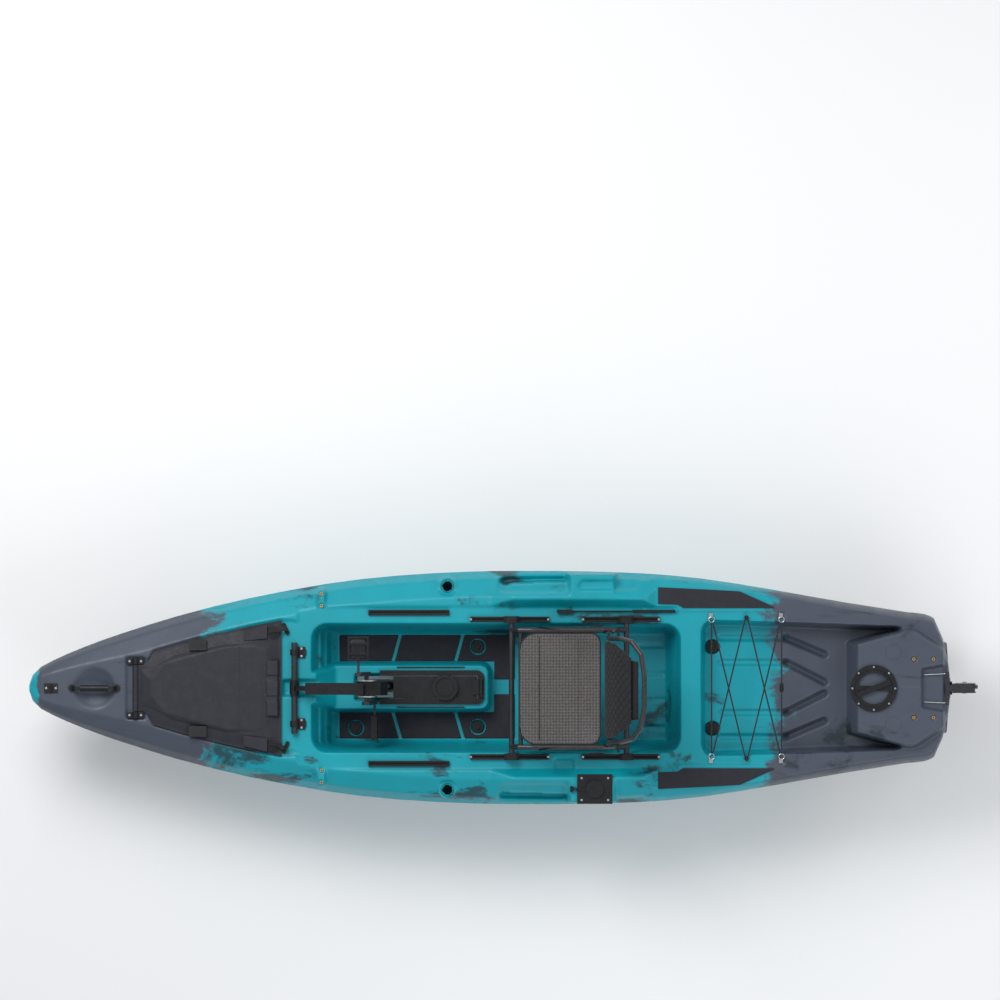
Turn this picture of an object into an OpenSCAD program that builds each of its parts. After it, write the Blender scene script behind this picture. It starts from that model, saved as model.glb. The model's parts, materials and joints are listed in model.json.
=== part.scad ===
// Sit-on-top pedal kayak. Bow at -X, stern at +X, port at -Y, up at +Z.
// The origin is amidships on the centreline, level with the lowest line of the keel.

/* [Hull] */
// Length of the hull from stem to stern
hull_l = 3660; // [3500:10:4500]
// Widest beam, at the crease along the side
beam = 930; // [900:5:1130]
// Height of the low gunwale above the keel
gunwale_z = 358; // [350:1:400]
// Height of the raised gunwale beside the seat
raised_z = 402; // [390:1:440]
// Height of the shelf that carries the tracks
shelf_z = 350; // [342:1:352]
// Height of the cockpit floor
floor_z = 115; // [112:1:150]
// Height of the tank well floor
tank_floor_z = 250; // [200:1:280]
// Height of the stern deck
stern_z = 402; // [390:1:420]
// Wall of the moulded shell
wall = 5; // [4:0.5:6]

/* [Cockpit] */
// Half width of the cockpit at its rim
cockpit_hw = 264; // [250:1:290]
// Length of the cockpit
cockpit_l = 1483; // [1470:1:1700]
// Length of the bulkhead between the cockpit and the tank well
bulkhead_l = 72; // [50:1:90]
// Half width of the raised coaming round the drive well
coaming_hw = 94; // [85:1:100]
// Height of the coaming round the drive well
coaming_z = 210; // [190:1:225]
// Half width of the drive well's slot
slot_hw = 46; // [44:1:56]

/* [Bow hatch] */
// Distance from the stem to the lid's hinge rod
hatch_from_stem = 423; // [400:1:450]
// Length of the lid behind its hinge rod
lid_l = 580; // [540:1:600]
// Distance from the lid's edge to the side of the hull
lid_margin = 112; // [105:1:150]
// Thickness of the lid's flange
lid_t = 12; // [8:1:16]
// Height of the raised panel on the lid
lid_crown = 16; // [8:1:24]

/* [Drive] */
// Distance from the stem to the drive's crossbar
bar_from_stem = 1055; // [1045:1:1065]
// Radius of the crossbar
bar_r = 12.5; // [10:0.5:14]
// Distance from the crossbar to the crank
crank_aft = 287; // [270:1:300]
// Height of the crank above the crossbar
crank_up = 70; // [60:1:90]
// Length of a crank arm
crank_l = 170; // [150:1:175]
// Depth of the propeller's axis below the keel
prop_depth = 55; // [50:1:70]
// Radius of the propeller
prop_r = 142; // [110:1:145]
// Chord of the leg
leg_chord = 92; // [80:1:100]
// Thickness of the leg
leg_t = 36; // [30:1:44]
// Gap between the middles of the pedals and the centreline
pedal_y = 160; // [150:1:165]
// Lean of the starboard crank towards the bow, in degrees
crank_lean = 10; // [0:1:20]

/* [Seat] */
// Distance from the crank to the seat's front bar
seat_aft = 575; // [560:1:600]
// Distance between the seat's front and rear bars
seat_l = 456; // [440:1:470]
// Half width of the seat's frame
seat_hw = 232; // [222:1:240]
// Radius of the seat's tubes
tube_r = 11; // [9:0.5:12]
// Height of the seat above the shelf
seat_up = 97; // [85:1:120]
// Height of the backrest above its pivot
back_h = 368; // [320:1:420]
// Distance from the centreline to the seat's tracks
track_y = 273; // [270:1:280]

/* [Stern] */
// Distance from the stern to the middle of the round hatch
port_from_stern = 307; // [300:1:320]
// Outer radius of the round hatch's ring
port_r = 93; // [80:1:100]
// Depth of the rudder's tip below the keel
rudder_depth = 109; // [60:1:150]
// Chord of the rudder's blade
rudder_chord = 104; // [80:1:120]
// Thickness of the rudder's blade
rudder_t = 14; // [10:1:16]

/* [Fittings] */
// Radius of a screw's head
screw_r = 4.5; // [3:0.5:5]
// Radius of the rod holders' bores
holder_r = 24; // [20:0.5:25]
// Thickness of the foam pads
pad_t = 5; // [3:0.5:8]
// Diameter of the shock cord
cord_d = 6; // [4:0.5:8]

/* [Hidden] */
$fn = 48;

// Clearances
run = 0.08;      // running clearance round a pin or shaft
gap = 0.4;       // gap between pieces that lie on or beside each other

// Places along the boat
stem_x = -hull_l / 2;
stern_x = hull_l / 2;
hatch_x = stem_x + hatch_from_stem;
lid_end_x = hatch_x + lid_l;
bar_x = stem_x + bar_from_stem;
crank_x = bar_x + crank_aft;
cockpit_x0 = bar_x + 55;
cockpit_x1 = cockpit_x0 + cockpit_l;
tank_x0 = cockpit_x1 + bulkhead_l;
block_x = stern_x - 406;
port_x = stern_x - port_from_stern;
seat_x = crank_x + seat_aft;
seat_x1 = seat_x + seat_l;
handle_x = stem_x + 260;
raised_x0 = seat_x - 85;
raised_x1 = seat_x + 520;

// Heights of what stands on the deck
lid_z = shelf_z + 2;
rod_z = lid_z + lid_t + 2;
bar_z = shelf_z + bar_r + 5;
crank_z = bar_z + crank_up;
prop_z = -prop_depth;
seat_z = shelf_z + seat_up;
track_t = 14;
clamp_z = shelf_z + track_t + 19;
pivot_x = seat_x + 385;
pivot_z = seat_z + 11;

// Smooth curve through the points P of [place, value]
function span(x, P, i = 0) = i >= len(P) - 2 || x < P[i + 1][0] ? i : span(x, P, i + 1);
function rise(P, a, b) = (P[b][1] - P[a][1]) / (P[b][0] - P[a][0]);
function slope(P, i) = rise(P, max(i - 1, 0), min(i + 1, len(P) - 1));
function smooth(x, P) =
    let (i = span(x, P), h = P[i + 1][0] - P[i][0], t = min(max((x - P[i][0]) / h, 0), 1))
    P[i][1] * (1 + 2 * t) * (1 - t) * (1 - t) + P[i + 1][1] * t * t * (3 - 2 * t)
    + h * t * (1 - t) * (slope(P, i) * (1 - t) - slope(P, i + 1) * t);

// The hull's lines: places are shares of the half length, breadths of the half beam
PLAN = [[-1, 0.03], [-0.993, 0.11], [-0.975, 0.18], [-0.9, 0.32], [-0.8, 0.465],
    [-0.65, 0.645], [-0.5, 0.785], [-0.3, 0.92], [-0.1, 0.985], [0.1, 1], [0.3, 0.985],
    [0.45, 0.94], [0.6, 0.85], [0.75, 0.745], [0.9, 0.65], [0.966, 0.595], [0.985, 0.42],
    [0.996, 0.22], [1, 0.08]];
KEEL = [[-1, 306], [-0.99, 288], [-0.93, 166], [-0.86, 70], [-0.8, 35], [-0.62, 26],
    [-0.4, 10], [-0.15, 0], [0.05, 0], [0.27, 10], [0.5, 24], [0.7, 42], [0.88, 66],
    [0.925, 90], [0.945, 190], [0.955, 258], [1, 290]];
CREASE = [[-1, 312], [-0.9, 290], [-0.75, 268], [-0.5, 250], [0, 246], [0.2, 258],
    [0.4, 270], [0.7, 264], [0.94, 262], [1, 318]];
half_l = hull_l / 2;
half_b = beam / 2;
function breadth(x) = half_b * smooth(x / half_l, PLAN);
function keel(x) = smooth(x / half_l, KEEL);
function crease(x) = smooth(x / half_l, CREASE);
// Height of the gunwale: a rise beside the seat, and a lower lip at the bow and stern
function ramp(x, a, b) = min(max((x - a) / (b - a), 0), 1);
function deck(x) =
    gunwale_z + (raised_z - gunwale_z) * (ramp(x, raised_x0, raised_x0 + 90)
        - ramp(x, raised_x1, raised_x1 + 55))
    - 24 * (1 - ramp(x, stem_x, stem_x + 60)) + 6 * ramp(x, stern_x - 200, stern_x - 60);
// Width of the sloping band above the crease
function flank(x) =
    min(0.42 * breadth(x), 100 - 54 * ramp(x, raised_x1, raised_x1 + 60)
        - 18 * ramp(x, raised_x1 + 150, raised_x1 + 400));

// Half of a cross section, as [breadth, height] from the keel to the middle of the deck
function half_ring(b, k, c, d, f) =
    [[0, k], [0.4 * b, k], [0.7 * b, k + 0.08 * (c - k)],
    [0.87 * b, k + 0.28 * (c - k)], [0.96 * b, k + 0.6 * (c - k)], [b, c],
    [b - 0.3 * f, c + 0.6 * (d - c)], [b - f, d], [0.5 * (b - f), d], [0, d]];
look = 12;  // how far a wall looks ahead, so that it stays thick where the shell turns
function inset_ring(x, w) =
    let (e = w > 0 ? look : 0,
        b = max(min(breadth(x - e), breadth(x + e)) - w, 4),
        k = max(keel(x - e), keel(x), keel(x + e)) + w,
        d = min(deck(x - e), deck(x + e)) - w,
        c = min(max(crease(x), k + 4), d - 4))
    half_ring(b, k, c, d, min(flank(x), 0.6 * b));
RING = 18;
function full_ring(x, w) =
    let (h = inset_ring(x, w))
    [for (p = h) [x, -p[0], p[1]], for (i = [len(h) - 2:-1:1]) [x, h[i][0], h[i][1]]];
SHARES = [-1, -0.993, -0.975, -0.95, -0.92, -0.88, -0.84, -0.8, -0.74, -0.68, -0.6, -0.52,
    -0.44, -0.36, -0.28, -0.2, -0.12, -0.04, 0.06, 0.14, 0.2, 0.26, 0.32, 0.39, 0.46, 0.54,
    0.62, 0.7, 0.78, 0.84, 0.88, 0.91, 0.925, 0.945, 0.957, 0.966, 0.985, 0.996, 1];
// The list L, in order, with the values V put in their places
function placed(L, V, i = 0) = i == len(V) ? L
    : placed([for (a = L) if (a < V[i] - 0.01) a, V[i], for (a = L) if (a > V[i] + 0.01) a], V, i + 1);
STATIONS = placed(SHARES, [raised_x0, raised_x0 + 90, raised_x1, raised_x1 + 55] / half_l);

module loft(xs, w) {
    n = len(xs);
    points = [for (x = xs) each full_ring(x, w)];
    sides = [for (i = [0:n - 2], j = [0:RING - 1])
        let (a = i * RING + j, b = i * RING + (j + 1) % RING)
        each [[a, b, b + RING], [a, b + RING, a + RING]]];
    first = [[for (j = [RING - 1:-1:0]) j]];
    last = [[for (j = [0:RING - 1]) (n - 1) * RING + j]];
    polyhedron(points, concat(sides, first, last));
}

// A straight rod and a bent rod of radius r, whose elbows stand out a little
elbow = 0.3;
module rod(a, b, r) {
    v = b - a;
    l = norm(v);
    translate(a) rotate([0, acos(v[2] / l), atan2(v[1], v[0])]) cylinder(h = l, r = r);
}
module bent_rod(pts, r) {
    for (i = [0:len(pts) - 2]) rod(pts[i], pts[i + 1], r);
    for (i = [1:len(pts) - 2]) translate(pts[i]) sphere(r = r + elbow);
}
module both_sides() {
    children();
    mirror([0, 1, 0]) children();
}
// A box by its corners
module block(a, b) {
    translate(a) cube(b - a);
}
// A cylinder across the boat, from y0 to y1
module across(x, z, r, y0, y1) {
    translate([x, y1, z]) rotate([90, 0, 0]) cylinder(h = y1 - y0, r = r);
}
// An outline in X and Z, given a thickness across the boat
module upright(y0, y1) {
    translate([0, y1, 0]) rotate([90, 0, 0]) linear_extrude(y1 - y0) children();
}
module screw(p) {
    translate(p) cylinder(h = 2.5, r = screw_r);
}
// A slab with rounded corners, from z0 up to z1
module rounded_slab(x0, x1, hw0, hw1, r, z0, z1) {
    hull() for (p = [[x0 + r, hw0 - r], [x1 - r, hw1 - r], [x0 + r, r - hw0], [x1 - r, r - hw1]])
        translate([p[0], p[1], z0]) cylinder(h = z1 - z0, r = r, $fn = 24);
}

// ---- Hull ----
// The hollows in the deck, each grown by g so that the shell keeps its wall
sky = 460;  // above every deck
module cockpit(g) {
    slab = 1;
    difference() {
        hull() {
            rounded_slab(cockpit_x0 - g, cockpit_x1 + g, cockpit_hw + g, cockpit_hw + g, 60,
                sky, sky + slab);
            rounded_slab(cockpit_x0 + 45 - g, cockpit_x1 - 30 + g, cockpit_hw - 36 + g,
                cockpit_hw - 36 + g, 50, floor_z - g, floor_z - g + slab);
        }
        // raised coaming round the drive well, and the spine that joins it to the bow deck
        rounded_slab(crank_x - 165 + g, well_x1 + 24 - g, coaming_hw - g, coaming_hw - g, 40,
            floor_z - 2 * g, coaming_z - g);
        hull() {
            block([cockpit_x0 - 20, g - 62, floor_z - 2 * g], [cockpit_x0 + 30, 62 - g, shelf_z - g]);
            block([cockpit_x0 - 20, g - 80, floor_z - 2 * g],
                [crank_x - 125, 80 - g, coaming_z - g]);
        }
    }
}
module tank_well(g) {
    difference() {
        hull() {
            rounded_slab(tank_x0 - g, stern_x - 170 + g, 272 + g, 250 + g, 40, sky, sky + 1);
            rounded_slab(tank_x0 + 18 - g, stern_x - 185 + g, 258 + g, 232 + g, 40,
                tank_floor_z - g, tank_floor_z - g + 1);
        }
        hull() {
            block([block_x + g, g - 178, tank_floor_z - 2 * g],
                [stern_x, 178 - g, tank_floor_z - g + 1]);
            block([block_x + 34 + g, g - 180, tank_floor_z], [block_x + 40, 180 - g, stern_z - g]);
            block([stern_x - 190, g - 232, tank_floor_z - g],
                [stern_x - 150, 232 - g, stern_z - g]);
        }
    }
}
// The shelf that runs beside the cockpit and the tank well, below the gunwale
module shelf(g) {
    hull() {
        block([cockpit_x0 - 40 - g, -322 - g, shelf_z - g], [raised_x1 + 135 + g, 322 + g, shelf_z + 1]);
        block([cockpit_x0 - 60 - g, -352 - g, raised_z], [raised_x1 + 155 + g, 352 + g, sky]);
    }
    hull() {
        block([raised_x1 - g, -300 - g, shelf_z - g], [tank_x0 + 330 + g, 300 + g, shelf_z + 1]);
        block([raised_x1 - g, -312 - g, gunwale_z + 10], [tank_x0 + 350 + g, 312 + g, sky]);
    }
}
module bow_recess(g) {
    linear_extrude_at(shelf_z - g, sky) lid_outline(3 + g);
    rounded_slab(lid_end_x - 10, cockpit_x0 + 20, 272 + g, 262 + g, 20, shelf_z - g, sky);
    // room for the hinge's saddles
    block([hatch_x - 36 - g, -saddle_y - 16 - g, shelf_z - g], [hatch_x + 40, saddle_y + 16 + g, sky]);
}
module linear_extrude_at(z0, z1) {
    translate([0, 0, z0]) linear_extrude(z1 - z0) children();
}
// Outline of the bow lid: a tab at the hinge, then sides parallel to the hull's
tab_hw = 92;
lid_shoulder = 72;  // from the hinge rod to where the lid is wide
function lid_side(x) = breadth(x) - lid_margin;
module lid_outline(g) {
    xs = [for (i = [0:4]) hatch_x + lid_shoulder + i * (lid_l - lid_shoulder) / 4];
    half = concat([[hatch_x, tab_hw], [hatch_x + 46, tab_hw]],
        [for (x = xs) [x, lid_side(x)]]);
    offset(delta = g) polygon(concat(half,
        [for (i = [len(half) - 1:-1:0]) [half[i][0], -half[i][1]]]));
}
// The slot for the drive's leg, from the hull's bottom to the coaming's top
slot_x0 = crank_x - 45;
well_x1 = bar_x + 753;   // after end of the well's frame
slot_x1 = well_x1 - 26;
module drive_slot(g) {
    block([slot_x0 - g, -slot_hw - g, -10], [slot_x1 + g, slot_hw + g, sky]);
    // tunnel for the propeller
    translate([prop_x - 34 - g, 0, prop_z]) rotate([0, 90, 0])
        cylinder(h = 68 + 2 * g, r = prop_r + 12 + g, $fn = 64);
}
scupper_r = 20;
SCUPPERS = [[crank_x - 47, 165, floor_z], [crank_x + 440, 160, floor_z],
    [tank_x0 + 52, 163, tank_floor_z]];
module scuppers(r) {
    both_sides() for (s = SCUPPERS)
        translate([s[0], s[1], -10]) cylinder(h = s[2] + 20, r = r, $fn = 24);
}
// Hand scoops in the sloping band
module hand_scoops(g) {
    both_sides() hull() for (x = [raised_x0 + 70, raised_x0 + 290])
        translate([x, half_b - 32, gunwale_z - 38]) sphere(r = 37 + g, $fn = 24);
}
holder_x = raised_x0 - 170;
function holder_y(x) = breadth(x) - 54;
holder_t = 3;
holder_l = 170;
module holder_holes(r) {
    both_sides() translate([holder_x, holder_y(holder_x), 150])
        cylinder(h = sky - 150, r = r, $fn = 32);
}
plate_x = raised_x0 + 415;
plate_y = half_b - 66;
plate_l = 140;
plate_w = 118;
plate_r = 27;
module insert_holes() {
    both_sides() {
        for (s = [-0.5, 0.5]) translate([insert_x, insert_y() + s * insert_dy, gunwale_z - insert_l - 1])
            cylinder(h = 60, r = insert_ro + gap, $fn = 24);
        for (x = BOLT_X) translate([x, bolt_y, stern_z - insert_l - 1])
            cylinder(h = 60, r = insert_ro + gap, $fn = 24);
    }
}
module plate_seats() {
    both_sides() hull() {
        block([cap_hinge_x - 8, half_b - 140, raised_z - 40],
            [plate_x + plate_l / 2 + 8, half_b - 8, raised_z]);
        block([cap_hinge_x - 20, half_b - 140, crease(plate_x) + 4],
            [plate_x + plate_l / 2 + 20, half_b - 6, crease(plate_x) + 30]);
    }
}
module dish(g) {
    translate([handle_x, 0, gunwale_z + 120]) sphere(r = 146 + g, $fn = 48);
}
module stern_block(g) {
    hull() {
        block([block_x + g, g - 178, tank_floor_z], [stern_x - 10 - g, 178 - g, tank_floor_z + 10]);
        block([block_x + 34 + g, g - 180, stern_z - 20], [block_x + 60, 180 - g, stern_z - g]);
        block([stern_x - 170, g - 232, gunwale_z - 20], [stern_x - 150, 232 - g, stern_z - g]);
        block([stern_x - 60, g - 150, gunwale_z - 20], [stern_x - 30 - g, 150 - g, stern_z - g]);
    }
}
module rudder_recess(g) {
    hull() {
        block([stern_x - 112 - g, -76 - g, stern_z - 24 - g], [stern_x - 100, 76 + g, sky]);
        block([stern_x, -96 - g, stern_z - 26 - g], [stern_x + 20, 96 + g, sky]);
    }
}
module hull_node() {
    color("darkturquoise") difference() {
        union() {
            loft([for (s = STATIONS) s * half_l], 0);
            stern_block(0);
            plate_seats();
            insert_pads();
        }
        cockpit(0);
        tank_well(0);
        shelf(0);
        bow_recess(0);
        rudder_recess(0);
        drive_slot(0);
        scuppers(scupper_r);
        insert_holes();
        hand_scoops(0);
        holder_holes(holder_r + holder_t + gap);
        dish(0);
        translate([plate_x, -plate_y, 0]) block([-plate_r - 5, -plate_r - 5, 235],
            [plate_r + 5, plate_r + 5, sky]);
        // bow arm channel
        block([lid_end_x + 4, -30, shelf_z - 24], [cockpit_x0 + 60, 30, sky]);
        // openings into the hold
        linear_extrude_at(shelf_z - 20, sky) lid_outline(-26);
        translate([port_x, 0, shelf_z - 30]) cylinder(h = 200, r = port_r - 14);
        // the hold itself, with a wall kept round every hollow
        difference() {
            loft([for (s = STATIONS) if (abs(s) < 0.99) s * half_l], wall);
            cockpit(wall);
            tank_well(wall);
            shelf(wall);
            bow_recess(wall);
            drive_slot(wall);
            scuppers(scupper_r + wall);
            hand_scoops(wall);
            dish(wall);
            block([lid_end_x - 6, -30 - wall, shelf_z - 24 - wall],
                [cockpit_x0 + 60, 30 + wall, sky]);
        }
        stern_hold();
    }
}
// The hollow inside the raised stern block
module stern_hold() {
    hull() {
        block([block_x + 48, -150, tank_floor_z + 10], [stern_x - 190, 150, tank_floor_z + 20]);
        block([block_x + 60, -150, stern_z - wall - 8], [stern_x - 190, 190, stern_z - wall]);
        block([block_x + 60, -190, stern_z - wall - 8], [stern_x - 190, 150, stern_z - wall]);
    }
}
module skid_plate() {
    x0 = stern_x - 270;
    x1 = stern_x - 172;
    color("dimgray") upright(-20, 20)
        polygon([[x0, keel(x0) - 0.5], [x1, keel(x1) - 0.5], [x1 - 3, keel(x1) - 8],
            [x0 + 12, keel(x0) - 8]]);
}

// ---- Bow ----
module bow_handle() {
    top = gunwale_z + 24;
    x0 = handle_x - 88;
    x1 = handle_x + 88;
    color("black") {
        difference() {
            union() {
                for (x = [x0, x1]) translate([x, 0, deck(x) + gap]) cylinder(h = 7, r = 15);
                upright(-7, 7) polygon([[x0 - 8, deck(x0) + gap], [x0 + 8, deck(x0) + gap],
                    [x0 + 26, top - 8], [x1 - 26, top - 8], [x1 - 8, deck(x1) + gap],
                    [x1 + 8, deck(x1) + gap], [x1 - 12, top + 8], [x0 + 12, top + 8]]);
            }
            for (x = [x0, x1]) translate([x, 0, deck(x)]) cylinder(h = 6, r = 3);
        }
        translate([handle_x - 56, 0, top]) rotate([0, 90, 0]) cylinder(h = 112, r = 13);
    }
}
module bow_padeye() {
    x = stem_x + 88;
    z = deck(x) + gap;
    color("black") {
        difference() {
            block([x - 27, -19, z], [x + 27, 19, z + 4]);
            for (s = [-1, 1]) translate([x + s * 19, 0, z - 1]) cylinder(h = 8, r = 2.6);
        }
        bent_rod([[x, -12, z + 3], [x, -10, z + 17], [x, 10, z + 17], [x, 12, z + 3]], 4);
    }
}
saddle_y = tab_hw + 15;
rod_r = 5;
module hinge_saddles() {
    color("black") both_sides() difference() {
        union() {
            block([hatch_x - 33, saddle_y - 13, shelf_z + gap], [hatch_x + 33, saddle_y + 13, rod_z - 1]);
            across(hatch_x, rod_z, 12, saddle_y - 13, saddle_y + 13);
        }
        across(hatch_x, rod_z, rod_r + run, saddle_y - 14, saddle_y + 14);
        for (s = [-1, 1]) translate([hatch_x + s * 23, saddle_y, shelf_z - 1])
            cylinder(h = 40, r = 2.6);
    }
}
module hinge_rod() {
    color("black") across(hatch_x, rod_z, rod_r, -saddle_y - 12, saddle_y + 12);
}
module hatch_gasket() {
    color("dimgray") linear_extrude_at(shelf_z + gap, lid_z - gap / 2) difference() {
        lid_outline(-8);
        lid_outline(-20);
    }
}
cup_x = lid_end_x - 34;
cup_y = lid_side(lid_end_x) - 46;
cup_r = 20;
lid_top = lid_z + lid_t;
module hatch_lid() {
    crown_z = lid_top + lid_crown;
    color([0.16, 0.16, 0.19]) difference() {
        union() {
            linear_extrude_at(lid_z + gap, lid_top) difference() {
                lid_outline(0);
                translate([hatch_x - 50, -tab_hw - 1]) square([50 - rod_r - 2, 2 * tab_hw + 2]);
            }
            // rim that hangs into the opening
            linear_extrude_at(lid_z - 14, lid_z + 1) difference() {
                lid_outline(-30);
                lid_outline(-36);
            }
            // raised panel
            hull() {
                linear_extrude_at(lid_top - 1, lid_top) lid_outline(-14);
                linear_extrude_at(crown_z - 1, crown_z) lid_outline(-62);
            }
            across(hatch_x, rod_z, rod_r + 6, -tab_hw + 1, tab_hw - 1);
            both_sides() {
                // ramp up to the rod rest, and the cup at its end
                hull() {
                    block([lid_end_x - 150, cup_y - 36, lid_top - 1], [lid_end_x - 146, cup_y + 4, crown_z]);
                    block([lid_end_x - 62, cup_y - 26, lid_top - 1], [lid_end_x - 56, cup_y + 26, crown_z + 12]);
                }
                translate([cup_x, cup_y, lid_top - 1]) cylinder(h = cup_h, r = cup_r + 6);
            }
            // grip block at the rear edge
            for (y = [-66, -44, 44, 66])
                block([lid_end_x - 62, y - 16, lid_top], [lid_end_x - 16, y + 16, crown_z + 4]);
            block([lid_end_x - 56, -60, lid_top], [lid_end_x - 22, 60, crown_z + 1]);
        }
        across(hatch_x, rod_z, rod_r + run, -tab_hw, tab_hw);
        both_sides() {
            side_pad(gap);
            translate([cup_x, cup_y, lid_top + 2]) cylinder(h = 40, r = cup_r);
        }
    }
}
side_pad_x = hatch_x + 213;
module side_pad(g) {
    y = lid_side(side_pad_x + 36) - 26;
    block([side_pad_x - g, y - 20 - g, lid_top + 2.5 - g], [side_pad_x + 70 + g, y + 22 + g, lid_top + 22]);
}
module hatch_side_pads() {
    y = lid_side(side_pad_x + 36) - 26;
    color("black") both_sides() {
        side_pad(0);
        for (s = [18, 52]) translate([side_pad_x + s, y, lid_top + 22]) cylinder(h = 1.5, r = 4);
    }
}
// Each latch is a knob in the lid's cup, with a tongue that lies on a keeper on the deck
cup_h = 14;
tongue_z = lid_top + cup_h;
tongue_l = 52;
module latch(y) {
    z = lid_top + 2 + gap;
    side = sign(y);
    color([0.1, 0.1, 0.1]) translate([cup_x, y, 0]) {
        translate([0, 0, z]) cylinder(h = tongue_z + 7 - z, r = cup_r - 1);
        rotate([0, 0, side * 12]) {
            translate([0, 0, tongue_z]) block([0, -6, 0], [tongue_l, 6, 7]);
            translate([0, 0, tongue_z + 6]) block([-15, -4, 0], [15, 4, 10]);
        }
    }
}
module latch_port() {
    latch(-cup_y);
}
module latch_starboard() {
    latch(cup_y);
}
module latch_keepers() {
    x = lid_end_x + 17;
    h = tongue_z - gap - shelf_z - gap;
    color("black") both_sides() translate([x, cup_y + 11, shelf_z + gap]) rotate([0, 0, 24])
        difference() {
            union() {
                hull() for (s = [-1, 1]) translate([0, s * 18, 0]) cylinder(h = 9, r = 8);
                cylinder(h = h, r = 9);
            }
            for (s = [-1, 1]) translate([0, s * 18, -1]) cylinder(h = 20, r = 2.6);
        }
}

// ---- Deck fittings ----
insert_ro = 6;
insert_ri = 3;
insert_l = 16;
insert_x = bar_x + 107;
insert_dy = 47;
function insert_y() = breadth(insert_x) - 60;
BOLT_X = [stern_x - 148, stern_x - 70];
bolt_y = 116;
module insert(p) {
    translate(p - [0, 0, insert_l]) difference() {
        union() {
            cylinder(h = insert_l + gap, r = insert_ro);
            translate([0, 0, insert_l + gap]) cylinder(h = 1.2, r = insert_ro + 1);
        }
        translate([0, 0, 4]) cylinder(h = 30, r = insert_ri);
    }
}
module threaded_inserts() {
    color("goldenrod") both_sides() {
        for (s = [-0.5, 0.5]) insert([insert_x, insert_y() + s * insert_dy, gunwale_z]);
        for (x = BOLT_X) insert([x, bolt_y, stern_z]);
    }
}
// Flat pads that carry the gunwale's inserts
module insert_pads() {
    both_sides() hull() {
        translate([insert_x, insert_y() - 28, gunwale_z - 30]) cylinder(h = 30, r = 18, $fn = 24);
        translate([insert_x, insert_y() + 24, gunwale_z - 30]) cylinder(h = 30, r = 18, $fn = 24);
        translate([insert_x, insert_y() + 36, crease(insert_x) + 10]) cylinder(h = 8, r = 14, $fn = 24);
    }
}
gear_track_x = crank_x + 6;
gear_track_l = 322;
module rail(x0, x1, w, t, slot_w) {
    difference() {
        block([x0, -w / 2, 0], [x1, w / 2, t]);
        block([x0 + 8, -slot_w / 2, 4], [x1 - 8, slot_w / 2, t + 1]);
        block([x0 + 8, -slot_w / 2 - 3, 3.5], [x1 - 8, slot_w / 2 + 3, t - 3]);
    }
}
module gear_tracks() {
    color("black") both_sides() translate([0, 300, shelf_z + gap])
        rail(gear_track_x, gear_track_x + gear_track_l, 22, 12, 8);
}
TRACKS = [[-165, 149], [280, 588]];
module seat_tracks() {
    color("black") both_sides() for (t = TRACKS) translate([0, track_y, shelf_z + gap])
        rail(seat_x + t[0], seat_x + t[1], 22, track_t - gap, 7);
}
module rod_holders() {
    top = crease(holder_x) + 0.62 * (deck(holder_x) - crease(holder_x)) + 22;
    color("darkcyan") both_sides() translate([holder_x, holder_y(holder_x), top - holder_l])
        difference() {
            cylinder(h = holder_l, r = holder_r + holder_t);
            translate([0, 0, holder_t]) cylinder(h = holder_l, r = holder_r);
        }
}
plate_t = 8;
plate_top = raised_z + gap + plate_t;
module mount_plate() {
    color("black") translate([plate_x, -plate_y, raised_z + gap]) difference() {
        union() {
            block([-plate_l / 2, -plate_w / 2, 0], [plate_l / 2, plate_w / 2, plate_t]);
            translate([0, 0, -150]) cylinder(h = 150 + plate_t, r = plate_r + 3);
        }
        translate([0, 0, -147]) cylinder(h = 180, r = plate_r);
        for (x = [-52.5, 52.5], y = [-43.5, 43.5])
            translate([x, y, -1]) cylinder(h = plate_t + 2, r = 2.6);
    }
    // ears and pin that hold the cap's strap
    color("black") translate([cap_hinge_x, -plate_y, 0]) {
        both_sides() block([-6, 8, raised_z + gap], [6, 11, cap_hinge_z + 5]);
        across(0, cap_hinge_z, cap_pin_r, -9, 9);
        block([-6, -9, raised_z + gap], [6, 9, raised_z + 3]);
    }
}
cap_pin_r = 2.5;
cap_hinge_z = plate_top + 3.5;
cap_hinge_x = plate_x - 92;
module plate_cap() {
    z = plate_top + 1;
    color([0.1, 0.1, 0.1]) translate([plate_x, -plate_y, z]) {
        cylinder(h = 8, r = 35);
        translate([0, 0, -7]) cylinder(h = 8, r = plate_r - 3);
        difference() {
            union() {
                block([-92, -6, 1], [-30, 6, 4]);
                across(-92, cap_hinge_z - z, cap_pin_r + 3, -6, 6);
            }
            for (x = [-78, -64, -50]) translate([x, 0, 0]) cylinder(h = 6, r = 2.5);
            across(-92, cap_hinge_z - z, cap_pin_r + run, -8, 8);
        }
    }
}
module scupper_plugs() {
    color("black") both_sides() for (s = SCUPPERS) translate([s[0], s[1], s[2]]) {
        translate([0, 0, -28]) cylinder(h = 28 + gap, r1 = scupper_r - 3, r2 = scupper_r - 0.5);
        translate([0, 0, gap]) cylinder(h = 5, r = scupper_r + 4);
        translate([0, 0, 5]) cylinder(h = 9, r = 9);
    }
}
pad_y0 = coaming_hw + 8;
pad_y1 = cockpit_hw - 58;
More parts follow.
